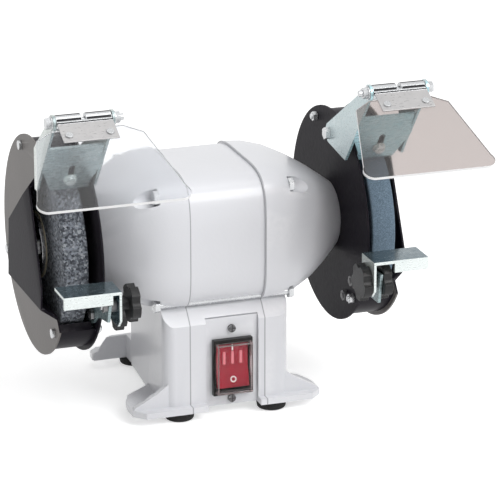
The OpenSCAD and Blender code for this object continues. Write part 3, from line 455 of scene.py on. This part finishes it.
print(grit.name, "has", len(grit.nodes), "nodes")

# %% [markdown]
# ### Parting line
# A dark line runs round the housing where two castings meet. The castings touch in a plane, so the
# line is found from the distance to that plane, and the same node serves both joints because
# it reads only how far a point is from the middle.

# %% Parting line
parting_line, start, end = new_group(
    "parting_line",
    [("Colour", COLOUR, rgb(0.7, 0.7, 0.7)), ("Line colour", COLOUR, rgb(0.2, 0.2, 0.2)),
     ("Place", FLOAT, 0.031), ("Half width", FLOAT, 0.0005)],
    [("Colour", COLOUR)],
)
where = node(parting_line, "ShaderNodeTexCoord")
split = node(parting_line, "ShaderNodeSeparateXYZ")
from_middle = node(parting_line, "ShaderNodeMath", operation="ABSOLUTE")
away = node(parting_line, "ShaderNodeMath", operation="SUBTRACT")
distance = node(parting_line, "ShaderNodeMath", operation="ABSOLUTE")
near = node(parting_line, "ShaderNodeMapRange", To_Min=1.0, To_Max=0.0)
blend = node(parting_line, "ShaderNodeMix", data_type="RGBA")
wire(
    parting_line,
    (where, "Object", split, "Vector"), (split, "X", from_middle, 0), (from_middle, 0, away, 0),
    (start, "Place", away, 1), (away, 0, distance, 0), (distance, 0, near, "Value"),
    (start, "Half width", near, "From Max"), (near, "Result", blend, "Factor"),
    (start, "Colour", blend, "A"), (start, "Line colour", blend, "B"),
    (blend, "Result", end, "Colour"),
)
print(parting_line.name, "has", len(parting_line.nodes), "nodes")

# %% [markdown]
# ### Edge wear
# Paint and plating thin first where a form turns sharply. Pointiness finds those places from the
# mesh itself, and a noise pattern breaks the worn line into patches.

# %% Edge wear
edge_wear, start, end = new_group(
    "edge_wear",
    [("Colour", COLOUR, rgb(0.5, 0.5, 0.5)), ("Bare colour", COLOUR, rgb(0.8, 0.8, 0.8)),
     ("From", FLOAT, 0.53), ("To", FLOAT, 0.60), ("Amount", FLOAT, 0.5)],
    [("Colour", COLOUR)],
)
form = node(edge_wear, "ShaderNodeNewGeometry")
where = node(edge_wear, "ShaderNodeTexCoord")
patches = node(edge_wear, "ShaderNodeTexNoise", Scale=260.0, Detail=3.0)
edge = node(edge_wear, "ShaderNodeMapRange")
broken = node(edge_wear, "ShaderNodeMath", operation="MULTIPLY")
share = node(edge_wear, "ShaderNodeMath", operation="MULTIPLY", use_clamp=True)
blend = node(edge_wear, "ShaderNodeMix", data_type="RGBA")
wire(
    edge_wear,
    (form, "Pointiness", edge, "Value"), (start, "From", edge, "From Min"),
    (start, "To", edge, "From Max"), (where, "Object", patches, "Vector"),
    (patches, "Fac", broken, 0), (edge, "Result", broken, 1), (broken, 0, share, 0),
    (start, "Amount", share, 1), (share, 0, blend, "Factor"), (start, "Colour", blend, "A"),
    (start, "Bare colour", blend, "B"), (blend, "Result", end, "Colour"),
)
print("shared effects:", [group.name for group in bpy.data.node_groups])

# %% [markdown]
# ## Materials
# A material keeps its own Principled shader, and the groups feed its colour, roughness and
# normal. Numbers that are the same all over, such as how metallic it is, are set on the shader.

# %% A start for every material
def new_material(name, **constants):
    """A material with one Principled shader whose constants are set on its own sockets."""
    material = bpy.data.materials.new(name)
    material.use_nodes = True
    shader = material.node_tree.nodes["Principled BSDF"]
    for key, value in constants.items():
        shader.inputs[key.replace("_", " ")].default_value = value
    material.diffuse_color = constants["Base_Color"]
    return material, material.node_tree, shader


def use(tree, group, **values):
    """Sets a node group into a material with its own numbers."""
    return node(tree, "ShaderNodeGroup", node_tree=group, **values)


# %% [markdown]
# ### Enamels
# The castings are sprayed in a smooth pale grey with a clear shine, the guards in black, and the
# guards' covers in a dull warm grey. All share one recipe: a drifting tone, worn edges, a rippled
# skin. Only the castings have parting lines, so that group is added where a place is given. The
# line lies just outside each joint, on the rounded step where the end casting begins.

# %% Enamels
JOINT_AT = 31.4 * MM
JOINT_HALF = 0.7 * MM
JOINT_SHADE = rgb(0.26, 0.26, 0.28)


def enamel(name, colour, second, ripple, roughness, clouds, bare, wear, shine, coat=0.0,
           joint=None):
    """Sprayed paint."""
    material, tree, shader = new_material(
        name, Base_Color=colour, Roughness=roughness, Coat_Weight=coat, Coat_Roughness=0.12,
        Specular_IOR_Level=shine)
    tone = use(tree, tone_drift, Colour=colour, Second_colour=second, Cloud_size=11.0,
               Clouds=clouds, Fleck_size=700.0, Flecks=0.06)
    last = use(tree, edge_wear, Bare_colour=bare, Amount=wear)
    skin = use(tree, enamel_skin, Ripple=ripple)
    wire(tree, (tone, "Colour", last, "Colour"))
    if joint:
        line = use(tree, parting_line, Place=joint, Half_width=JOINT_HALF, Line_colour=JOINT_SHADE)
        wire(tree, (last, "Colour", line, "Colour"))
        last = line
    wire(tree, (last, "Colour", shader, "Base Color"), (skin, "Normal", shader, "Normal"))
    return material


housing_enamel = enamel("housing_enamel", rgb(0.72, 0.725, 0.755), rgb(0.66, 0.67, 0.70), 0.10,
                        0.32, 0.30, rgb(0.86, 0.86, 0.88), 0.6, 0.5, coat=0.25, joint=JOINT_AT)
guard_enamel = enamel("guard_enamel", rgb(0.011, 0.0095, 0.014), rgb(0.022, 0.019, 0.025), 0.14,
                      0.34, 0.5, rgb(0.16, 0.15, 0.16), 0.7, 0.02)
cover_enamel = enamel("cover_enamel", rgb(0.165, 0.152, 0.145), rgb(0.125, 0.116, 0.112), 0.16,
                      0.42, 0.5, rgb(0.34, 0.32, 0.31), 0.7, 0.20)
# A lighter grey used as a painted highlight along the covers' dome crease.
crease_highlight_enamel = enamel("crease_highlight_enamel", rgb(0.30, 0.28, 0.27), rgb(0.20, 0.185, 0.18), 0.16,
                       0.40, 0.6, rgb(0.40, 0.38, 0.37), 0.7, 0.20)
print("enamels are mixed, parting lines at", JOINT_AT / MM, "mm")

# %% [markdown]
# ### Metals
# Zinc plating is bluish and slightly cloudy, and it isn't a clean mirror: a part of its colour is
# matt. That is why most of these are less than fully metallic, which also keeps them from turning
# white in a white room. The streaks run across the machine, the way that the sheet was rolled.

# %% Metals
ROLLED = (0.25, 1.0, 1.0)
TURNED = (9.0, 1.0, 1.0)
STACKED = (30.0, 0.2, 0.2)


def metal(name, colour, second, smooth_at, rough_at, stretch=(1.0, 1.0, 1.0), size=900.0,
          depth=0.06, clouds=0.4, metallic=1.0):
    """Bare or plated metal."""
    material, tree, shader = new_material(name, Base_Color=colour, Metallic=metallic)
    tone = use(tree, tone_drift, Colour=colour, Second_colour=second, Cloud_size=38.0,
               Clouds=clouds, Fleck_size=500.0, Flecks=0.12)
    worn = use(tree, edge_wear, Bare_colour=rgb(0.95, 0.96, 0.95), Amount=0.4)
    streaks = use(tree, metal_streaks, Stretch=stretch, Size=size, Smooth=smooth_at,
                  Rough=rough_at, Depth=depth)
    wire(tree, (tone, "Colour", worn, "Colour"), (worn, "Colour", shader, "Base Color"),
         (streaks, "Roughness", shader, "Roughness"), (streaks, "Normal", shader, "Normal"))
    return material


zinc_sheet = metal("zinc_sheet", rgb(0.56, 0.61, 0.585), rgb(0.42, 0.49, 0.47), 0.24, 0.44,
                   ROLLED, 700.0, metallic=0.62)
# A lighter copy of the zinc: a painted highlight on the rests' front lips. The spark screws wear it
# too.
bright_zinc = metal("bright_zinc", rgb(0.70, 0.75, 0.74), rgb(0.56, 0.63, 0.62), 0.22, 0.40,
                    ROLLED, 700.0, metallic=0.5)
# Two teal copies of the zinc: painted reflection on the brackets' fronts and backs. The first one
# is also painted shade on the rest arms.
teal_shade_and_reflection_zinc = metal("teal_shade_and_reflection_zinc", rgb(0.165, 0.240, 0.255), rgb(0.265, 0.345, 0.355), 0.20, 0.38,
                  ROLLED, 700.0, clouds=0.8, metallic=0.55)
sky_reflection_zinc = metal("sky_reflection_zinc", rgb(0.270, 0.520, 0.580), rgb(0.370, 0.600, 0.650), 0.20, 0.38,
                 ROLLED, 700.0, clouds=0.8, metallic=0.55)
cool_zinc = metal("cool_zinc", rgb(0.430, 0.540, 0.560), rgb(0.340, 0.440, 0.460), 0.24, 0.44,
                  ROLLED, 700.0, metallic=0.62)
leaf_zinc = metal("leaf_zinc", rgb(0.46, 0.45, 0.45), rgb(0.36, 0.36, 0.365), 0.24, 0.46,
                  ROLLED, 700.0, metallic=0.62)
# A dark teal copy of the zinc: painted reflection on the rests' tops and painted shade on the left
# rest's flange.
deep_shade_and_reflection_zinc = metal("deep_shade_and_reflection_zinc", rgb(0.062, 0.125, 0.160), rgb(0.105, 0.165, 0.190), 0.14, 0.30,
                   ROLLED, 700.0, clouds=0.7, metallic=0.7)
plated_steel = metal("plated_steel", rgb(0.56, 0.57, 0.58), rgb(0.40, 0.41, 0.43), 0.18, 0.36,
                     metallic=0.8)
turned_steel = metal("turned_steel", rgb(0.55, 0.55, 0.56), rgb(0.44, 0.44, 0.45), 0.20, 0.35,
                     TURNED, 260.0, 0.10)
dark_steel = metal("dark_steel", rgb(0.10, 0.10, 0.105), rgb(0.16, 0.15, 0.15), 0.30, 0.50)
core_steel = metal("core_steel", rgb(0.30, 0.30, 0.31), rgb(0.22, 0.21, 0.21), 0.35, 0.55,
                   STACKED, 60.0, 0.5)
copper_wire = metal("copper_wire", rgb(0.62, 0.26, 0.12), rgb(0.45, 0.17, 0.07), 0.25, 0.45,
                    depth=0.3)
print("metals are mixed, materials so far:", len(bpy.data.materials))

# %% [markdown]
# ### Abrasives
# The left wheel is coarse, grey and open, the right one fine, blue and dense. Both are the same
# grit with its own grain size: a larger number gives smaller grains.

# %% Abrasives
def abrasive(name, size, bond, grain, bright, depth):
    """Bonded grains."""
    material, tree, shader = new_material(name, Base_Color=grain, Roughness=0.85)
    grains = use(tree, grit, Grain_size=size, Bond=bond, Grain=grain, Bright_grain=bright,
                 Depth=depth)
    wire(tree, (grains, "Colour", shader, "Base Color"), (grains, "Normal", shader, "Normal"))
    return material


coarse_abrasive = abrasive("coarse_abrasive", 560.0, rgb(0.036, 0.040, 0.050),
                           rgb(0.280, 0.305, 0.345), rgb(0.37, 0.39, 0.42), 0.60)
fine_abrasive = abrasive("fine_abrasive", 1500.0, rgb(0.106, 0.157, 0.205),
                         rgb(0.180, 0.255, 0.335), rgb(0.22, 0.30, 0.38), 0.14)
print("abrasives are mixed:", coarse_abrasive.name, fine_abrasive.name)

# %% [markdown]
# ### Plastics, rubber and paper
# Moulded parts differ in how much they shine and in the grain of the mould. Dark ones get a low
# shine, because a black part in a white room would otherwise look grey.

# %% Plastics, rubber and paper
def moulded(name, colour, second, roughness, grain, clouds=0.3, shine=0.5):
    """Moulded plastic and what resembles it."""
    material, tree, shader = new_material(name, Base_Color=colour, Roughness=roughness,
                                          Specular_IOR_Level=shine)
    tone = use(tree, tone_drift, Colour=colour, Second_colour=second, Cloud_size=60.0,
               Clouds=clouds, Fleck_size=1500.0, Flecks=0.10)
    skin = use(tree, enamel_skin, Ripple_size=1500.0, Ripple=grain, Speck=grain)
    wire(tree, (tone, "Colour", shader, "Base Color"), (skin, "Normal", shader, "Normal"))
    return material


black_plastic = moulded("black_plastic", rgb(0.012, 0.012, 0.013), rgb(0.030, 0.029, 0.029),
                        0.34, 0.20, shine=0.30)
bezel_plastic = moulded("bezel_plastic", rgb(0.010, 0.010, 0.010), rgb(0.020, 0.018, 0.018),
                        0.26, 0.05, shine=0.22)
red_plastic = moulded("red_plastic", rgb(0.38, 0.014, 0.032), rgb(0.18, 0.006, 0.016), 0.20, 0.03,
                      clouds=0.7, shine=0.25)
# The ribs' paler red is a painted highlight.
rib_highlight_plastic = moulded("rib_highlight_plastic", rgb(0.80, 0.24, 0.28), rgb(0.66, 0.10, 0.14), 0.22, 0.03)
mark_plastic = moulded("mark_plastic", rgb(0.86, 0.80, 0.79), rgb(0.74, 0.68, 0.67), 0.35, 0.03)
pale_plastic = moulded("pale_plastic", rgb(0.70, 0.68, 0.62), rgb(0.60, 0.58, 0.52), 0.45, 0.08)
# A near-black for painted shade and painted dark reflection: the lines along the hinge rolls and at
# the leaf's bend.
painted_shade_line = moulded("painted_shade_line", rgb(0.030, 0.030, 0.033), rgb(0.016, 0.016, 0.018), 0.60,
                      0.05, shine=0.10)
soft_rubber = moulded("soft_rubber", rgb(0.010, 0.010, 0.010), rgb(0.022, 0.021, 0.020), 0.68,
                      0.30, shine=0.25)
blotting_paper = moulded("blotting_paper", rgb(0.68, 0.62, 0.48), rgb(0.55, 0.49, 0.36), 0.85, 0.40)
print("plastics are mixed, materials so far:", len(bpy.data.materials))

# %% [markdown]
# ### Clear plastic
# The eye shields are tinted sheets, the right one darker, and the splash cover is a thin clear
# cap. Light goes through them, and a faint haze and fine scratches sit in the roughness. A cut
# edge is frosted: it lets little through and catches the light, which draws the shield's outline.

# %% Clear plastic
def clear(name, colour, roughness, haze, bend=1.49, through=1.0):
    """A tinted sheet that light goes through."""
    material, tree, shader = new_material(name, Base_Color=colour, Transmission_Weight=through,
                                          IOR=bend)
    tone = use(tree, tone_drift, Colour=colour, Second_colour=haze, Cloud_size=22.0, Clouds=0.25,
               Fleck_size=400.0, Flecks=0.05)
    rub = use(tree, metal_streaks, Stretch=(0.3, 1.0, 1.0), Size=500.0, Smooth=roughness,
              Rough=roughness + 0.06, Depth=0.0)
    wire(tree, (tone, "Colour", shader, "Base Color"), (rub, "Roughness", shader, "Roughness"))
    return material


left_shield_plastic = clear("left_shield_plastic", rgb(0.865, 0.88, 0.905), 0.02,
                            rgb(0.80, 0.80, 0.81))
right_shield_plastic = clear("right_shield_plastic", rgb(0.48, 0.43, 0.415), 0.02,
                             rgb(0.44, 0.40, 0.39))
shield_edge = clear("shield_edge", WHITE, 0.30, rgb(0.94, 0.94, 0.94), through=0.12)
cover_plastic = clear("cover_plastic", rgb(0.95, 0.93, 0.93), 0.03, rgb(0.88, 0.86, 0.86), 1.20)
cover_rim = clear("cover_rim", rgb(0.56, 0.44, 0.44), 0.20, rgb(0.46, 0.36, 0.36), 1.30,
                  through=0.70)
print("all materials:", len(bpy.data.materials))

# %% [markdown]
# ## Softening edges
# No cast or pressed piece has a knife edge. A copy of a frame piece is merged into one skin, its
# flat triangles are dissolved into whole faces, and a bevel rounds what turns sharply. The copy
# drops the frame's own marks, because it is given its own body. The frame piece itself stays
# untouched underneath and is no longer shown. Modelling each of these pieces again by hand would
# risk a fit that is already right, and the bevel is all that they lack.

# %% Softening one frame piece
SAME_PLACE = 0.004 * MM
STILL_FLAT = radians(1.0)
SHARP = radians(28)


def soften(name, material, slot, width, segments=2):
    """Makes a copy of a frame piece with round edges, and puts it in that piece's place."""
    only(nodes[name])
    bpy.ops.object.duplicate()
    piece = bpy.context.object
    piece.parent = None
    for key in list(piece.keys()):
        del piece[key]
    only(piece)
    bpy.ops.object.mode_set(mode="EDIT")
    bpy.ops.mesh.select_all(action="SELECT")
    bpy.ops.mesh.remove_doubles(threshold=SAME_PLACE)
    bpy.ops.mesh.dissolve_limited(angle_limit=STILL_FLAT)
    bpy.ops.object.mode_set(mode="OBJECT")
    modifier(piece, "BEVEL", width=width * MM, segments=segments, limit_method="ANGLE",
             angle_limit=SHARP, use_clamp_overlap=True, harden_normals=False,
             miter_outer="MITER_ARC")
    smooth(piece, 40)
    even_shading(piece)
    paint(piece, material)
    return finish(piece, name + "_soft", nodes[name]["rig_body"], slot, name)


print("edges that turn more than", round(degrees(SHARP)), "degrees will be rounded")

# %% [markdown]
# ### Castings
# The three castings and the switch plate leave their moulds with generous edges, so their
# bevel is the widest and has three steps.

# %% Castings
CAST_ROUNDING = 0.9

for name in ("centre_housing", "left_end_casting", "right_end_casting", "switch_plate"):
    piece = soften(name, housing_enamel, "casting", CAST_ROUNDING, 3)
    print(name, len(piece.data.polygons), "faces")

# %% [markdown]
# ### Guards and covers
# Each guard is a black sheet drum. Its cover is a dull disc with a dome that is pressed outwards.
# The dome is painted in the guards' black as painted shade, and a lighter grey along the dome's
# crease is a painted highlight. The dome is found by how far its faces stand from the middle of the
# machine, so one rule serves both sides.

# %% Guards and covers
DOME_DEPTH = 11.0
CREASE_DEPTH = 0.9

for side in ("left", "right"):
    soften(side + "_guard", guard_enamel, "guard_paint", 0.35)
    cover = soften(side + "_guard_cover", cover_enamel, "guard_paint", 0.8, 3)
    outer = max(abs(v.co.x) for v in cover.data.vertices) / MM
    # Painted shade: the dome gets the guards' black, and the flat disc round it keeps the cover's
    # grey.
    dome = refinish(cover, guard_enamel, lambda at, normal: abs(at.x) > outer - DOME_DEPTH)
    # Painted highlight along the dome's crease.
    crease_highlight = refinish(cover, crease_highlight_enamel, lambda at, normal:
                      abs(at.x) > outer - CREASE_DEPTH and abs(normal.x) < 0.97)
    print(side, "dome faces", dome, "of which rubbed edges", crease_highlight)

# %% [markdown]
# ### Zinc-plated sheet
# Arms, tool rests and brackets are bent from plated sheet. A tool rest's top is a dark teal, a
# painted reflection of the wheel, and its front lip a lighter zinc, a painted highlight. A
# bracket's front and back are a bluer zinc than its sides, a painted reflection. The left rest's
# flange, behind its knob, and both rest arms are darker as painted shade, and the black spark
# plates are partly painted shade too.

# %% Zinc-plated sheet
LEFT_FLANGE_FROM = -106.5

for side, bracket_face in (("left", teal_shade_and_reflection_zinc), ("right", sky_reflection_zinc)):
    # Painted shade: the rest arms get the dark teal zinc because they sit in shade under the rests.
    soften(side + "_rest_arm", teal_shade_and_reflection_zinc, "zinc", 0.3)
    rest = soften(side + "_tool_rest", zinc_sheet, "zinc", 0.6)
    if side == "left":
        # Painted shade on the left rest's flange, which lies in shade behind its knob.
        refinish(rest, deep_shade_and_reflection_zinc, lambda at, normal: normal.x < -0.9 and at.x > LEFT_FLANGE_FROM)
    # Painted reflection: the rest's top is a dark teal that stands for the wheel mirrored in it.
    top_reflection = refinish(rest, deep_shade_and_reflection_zinc, lambda at, normal: normal.z > 0.9)
    # Painted highlight: the front lip is a lighter zinc than the rest.
    front = refinish(rest, bright_zinc, lambda at, normal: normal.z <= 0.9 and normal.y < -0.3)
    bracket = soften(side + "_shield_bracket", zinc_sheet if side == "left" else cool_zinc, "zinc",
                     0.35)
    # Painted reflection: the bracket's front and back faces are a bluer, darker zinc than its
    # sides, picked by the way each face points.
    faces = refinish(bracket, bracket_face, lambda at, normal: abs(normal.y) > 0.35)
    # The spark plate is painted black, partly as its own paint and partly as painted shade that
    # makes the slot read dark.
    soften(side + "_spark_plate", guard_enamel, "zinc", 0.3)
    print(side, "rest: dusty faces", top_reflection, "bright faces", front, "bracket faces", faces)

# %% [markdown]
# ### Knobs, wheels and eye shields
# Star knobs are moulded with very round lobes. The wheels' rims are dressed to a small radius. The
# shields are cut from sheet, so only their narrow edges are frosted: these are the faces that
# don't point the same way as the sheet's largest face.

# %% Knobs
for name in ("left_arm_knob", "left_rest_knob", "right_rest_knob", "right_inner_knob"):
    knob = soften(name, black_plastic, "black_plastic", 1.3, 3)
    print(name, len(knob.data.polygons), "faces")

# %% Wheels
for side, surface in (("left", coarse_abrasive), ("right", fine_abrasive)):
    wheel = soften(side + "_wheel", surface, "abrasive", 0.9, 3)
    print(side, "wheel", len(wheel.data.polygons), "faces")

# %% Eye shields
for side, plastic in (("left", left_shield_plastic), ("right", right_shield_plastic)):
    sheet = soften(side + "_eye_shield", plastic, "clear_plastic", 0.5)
    flat = max(sheet.data.polygons, key=lambda face: face.area).normal.copy()
    edges = refinish(sheet, shield_edge, lambda at, normal: abs(normal.dot(flat)) < 0.9)
    print(side, "shield: frosted edge faces", edges)

# %% [markdown]
# ### Small parts
# Screws, pins, rivets, flanges, feet and the switch's housing only need a narrow bevel each, and
# differ in finish. A table of finish, slot and pieces says it all in one place.

# %% Small parts
small_parts = [
    # The rest collars' dark steel is painted shade: they sit in shade under the rests.
    (dark_steel, "steel", {"switch_plate_screws": 0.15, "arm_screws": 0.2, "rest_collars": 0.25}),
    (plated_steel, "steel", {
        "housing_bolts": 0.25, "foot_screws": 0.2, "guard_screws": 0.2, "bracket_bolts": 0.25,
        "rest_studs": 0.2, "cover_bolts": 0.25, "left_hinge_pin": 0.3, "right_hinge_pin": 0.3,
        "left_shield_rivets": 0.3, "right_shield_rivets": 0.3}),
    (bright_zinc, "steel", {"left_spark_screw": 0.2, "right_spark_screw": 0.2}),
    (turned_steel, "steel", {"outer_flanges": 0.3, "spindle_nuts": 0.3}),
    (bezel_plastic, "black_plastic", {"switch_body": 0.6, "cord_gland": 0.5}),
    (soft_rubber, "rubber", {"rubber_feet": 1.0}),
]
for material, slot, widths in small_parts:
    for name, width in widths.items():
        soften(name, material, slot, width)
    print(material.name, "on", ", ".join(widths))

# %% Splash cover and base plate
splash_cover = soften("switch_cover", cover_plastic, "clear_plastic", 0.6)
rim = refinish(splash_cover, cover_rim,
               lambda at, normal: max(abs(part) for part in normal) < 0.96)
soften("base_plate", zinc_sheet, "zinc", 0.3)
print("frosted rim faces on the splash cover", rim)

# %% [markdown]
# ## Shield hinges
# The real hinge is one strip of sheet steel: two tongues are rolled round the pin, and the flat
# leaf between them carries the shield. The rolls are open tubes made thick by a solidify
# modifier, and the leaf is made of flattened cubes with softened edges, with a narrow one where
# the sheet bends. They are drawn flat, as on a workbench, with the pin along X and the leaf
# towards Y, then turned to the shield's slope and set on the pin. One hinge is modelled, and a
# copy with its own mesh goes to the other side.

# %% Pieces of sheet
def sheet_box(low, high, round_by):
    """A cube stretched between two corners in millimetres, with rounded edges."""
    low, high = Vector(low), Vector(high)
    bpy.ops.mesh.primitive_cube_add(size=1, location=(low + high) / 2 * MM)
    piece = bpy.context.object
    piece.scale = (high - low) * MM
    settle(piece)
    return modifier(piece, "BEVEL", width=round_by * MM, segments=3, limit_method="ANGLE")


PIN_HOLE = 2.75
ROLL = 5.9
ROLL_PLAY = 0.3


def rolled_tongue(x_from, x_to):
    """A tube round the pin, rolled from sheet."""
    bpy.ops.mesh.primitive_cylinder_add(
        vertices=48, radius=ROLL * MM, depth=(x_to - x_from) * MM, end_fill_type="NOTHING",
        rotation=(0, radians(90), 0), location=((x_from + x_to) / 2 * MM, 0, 0))
    tube = settle(bpy.context.object)
    modifier(tube, "SOLIDIFY", thickness=(ROLL - PIN_HOLE - ROLL_PLAY) * MM, offset=-1.0)
    return modifier(tube, "BEVEL", width=0.35 * MM, segments=2, limit_method="ANGLE",
                    angle_limit=radians(60))


# %% One flat hinge
HINGE_HALF = 21.8
ROLL_GAP = 1.8
LEAF_OUT, LEAF_IN = -4.5, -3.3
LEAF_STEPS = ((3.0, 5.2), (5.0, 7.0), (6.8, 26.9))

leaf = [sheet_box((-HINGE_HALF, y_from, LEAF_OUT), (HINGE_HALF, y_to, LEAF_IN), 0.3)
        for y_from, y_to in LEAF_STEPS]
hinge = joined([rolled_tongue(-HINGE_HALF, -ROLL_GAP), rolled_tongue(ROLL_GAP, HINGE_HALF)] + leaf)
smooth(hinge, 35)
even_shading(hinge)
paint(hinge, plated_steel)
print("one hinge has", len(hinge.data.polygons), "faces")


# %% Painted shade lines on the hinge
ROLL_LINES = ((23, 50), (-62, -18))
BEND_LINE = (5.6, 6.4)
LEAF_FROM = 7.2


def roll_angle(normal):
    """Where on the roll a face sits: 0 is outward from the leaf, 90 is towards the shield."""
    return degrees(atan2(normal.y, -normal.z))


def in_painted_shade_line(at, normal):
    """Painted shade and a painted dark reflection: two bands along the roll, and the strip where
    the leaf leaves it.
    """
    on_roll = abs(Vector((at.y, at.z)).length - ROLL) < 0.4
    if on_roll and abs(normal.x) < 0.3:
        return any(low < roll_angle(normal) < high for low, high in ROLL_LINES)
    return BEND_LINE[0] < at.y < BEND_LINE[1] and at.z < LEAF_IN + 0.3


# Painted shade and painted dark reflection on the hinge's rolls and bend.
dark_lines = refinish(hinge, painted_shade_line, in_painted_shade_line)
leaf_faces = refinish(hinge, leaf_zinc, lambda at, normal: at.y > LEAF_FROM)
print("hinge faces in the joints", dark_lines, "and on the leaf", leaf_faces)

# %% Both hinges in place
HINGE_AT = Vector((127.5, -98.0, 261.0))
SHIELD_SLOPE = 26

hinge.rotation_euler = (radians(180 + SHIELD_SLOPE), 0, 0)
hinge.location = HINGE_AT * MM
settle(hinge)
only(hinge)
bpy.ops.object.duplicate()
other_hinge = bpy.context.object
other_hinge.data = other_hinge.data.copy()
other_hinge.location = (-2 * HINGE_AT.x * MM, 0, 0)
settle(other_hinge)
for piece, side in ((hinge, "right"), (other_hinge, "left")):
    frame_hinge = side + "_shield_hinge"
    finish(piece, side + "_hinge_rolled", nodes[frame_hinge]["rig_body"], "zinc", frame_hinge)
print("hinges at", HINGE_AT.x, "mm on either side")

# %% [markdown]
# ## The rocker
# The switch's rocker is a red moulding that is hollow in the middle, so that a finger finds it.
# Its shape is the frame's own, with round edges. Three grip ribs stand on the upper half, in a
# paler red that is a painted highlight on them, and a pale bar and a pale ring mark on and off.
# They are laid on the two slopes of the face, and ride with the rocker, so that they tip with it
# when it is pressed.

# %% Laying a piece on the rocker
ROCKER_AT = Vector((4.0, -58.0, 34.0))
ROCKER_TURN = radians(-7)
FACE_SLOPE = 0.1307
HOLLOW_Y, END_RISE, HALF_HEIGHT = -3.2, 2.3, 17.5


def on_rocker(piece, x, along):
    """Lays a flat piece, drawn facing up, on a slope of the rocker and puts it in place."""
    slope = FACE_SLOPE if along > 0 else -FACE_SLOPE
    piece.rotation_euler = (radians(90) + slope, 0, 0)
    face_y = HOLLOW_Y - END_RISE * abs(along) / HALF_HEIGHT
    piece.location = Vector((x, face_y, along)) * MM
    settle(piece)
    piece.rotation_euler = (ROCKER_TURN, 0, 0)
    piece.location = ROCKER_AT * MM
    return settle(piece)


rocker = soften("switch_rocker", red_plastic, "red_plastic", 0.6, 3)
rocker_body = nodes["switch_rocker"]["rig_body"]
print("rocker", len(rocker.data.polygons), "faces")

# %% Grip ribs
RIB_AT = 6.8
RIB_EVERY = 7.0

ribs = joined([
    on_rocker(sheet_box((-1.2, -5.4, -0.4), (1.2, 5.4, 0.9), 0.6), x, RIB_AT)
    for x in (-RIB_EVERY, 0.0, RIB_EVERY)
])
smooth(ribs, 40)
# Painted highlight: the ribs are a paler red than the rocker.
paint(ribs, rib_highlight_plastic)
finish(ribs, "rocker_ribs", rocker_body, "red_plastic")
print("ribs", len(ribs.data.polygons), "faces")

# %% Marks for on and off
RING_AT = -11.0
BAR_AT = 15.0

bpy.ops.mesh.primitive_torus_add(major_radius=2.1 * MM, minor_radius=0.55 * MM, major_segments=32,
                                 minor_segments=10)
ring = on_rocker(bpy.context.object, 0.0, RING_AT)
bar = on_rocker(sheet_box((-0.6, -2.1, -0.3), (0.6, 2.1, 0.45), 0.25), 0.0, BAR_AT)
marks = joined([ring, bar])
smooth(marks, 40)
paint(marks, mark_plastic)
finish(marks, "rocker_marks", rocker_body, "pale_plastic")
print("marks", len(marks.data.polygons), "faces")

# %% [markdown]
# ## What stays hidden
# Bearings, spindle, motor and the electrical parts are inside the housing, and keep their frame
# meshes. They still get real finishes, because the housing may be opened: ground steel,
# stacked core sheets, wound copper, pale moulded plastic, and paper beside the wheels.

# %% Finishes for the frame's own meshes
hidden = {
    turned_steel: ["bearing_outer_rings", "bearing_inner_rings", "bearing_balls", "spindle_shaft",
                   "inner_flanges"],
    core_steel: ["stator_core", "rotor_core"],
    copper_wire: ["stator_windings"],
    pale_plastic: ["capacitor", "terminal_block"],
    blotting_paper: ["wheel_blotters"],
}
for material, names in hidden.items():
    for name in names:
        paint(nodes[name], material)
    print(material.name, "on", ", ".join(names))

# %% [markdown]
# ## Finishing
# The frame's own box, taken when the frame was loaded, is printed.

# %% Finish
print("frame box", cad_box)
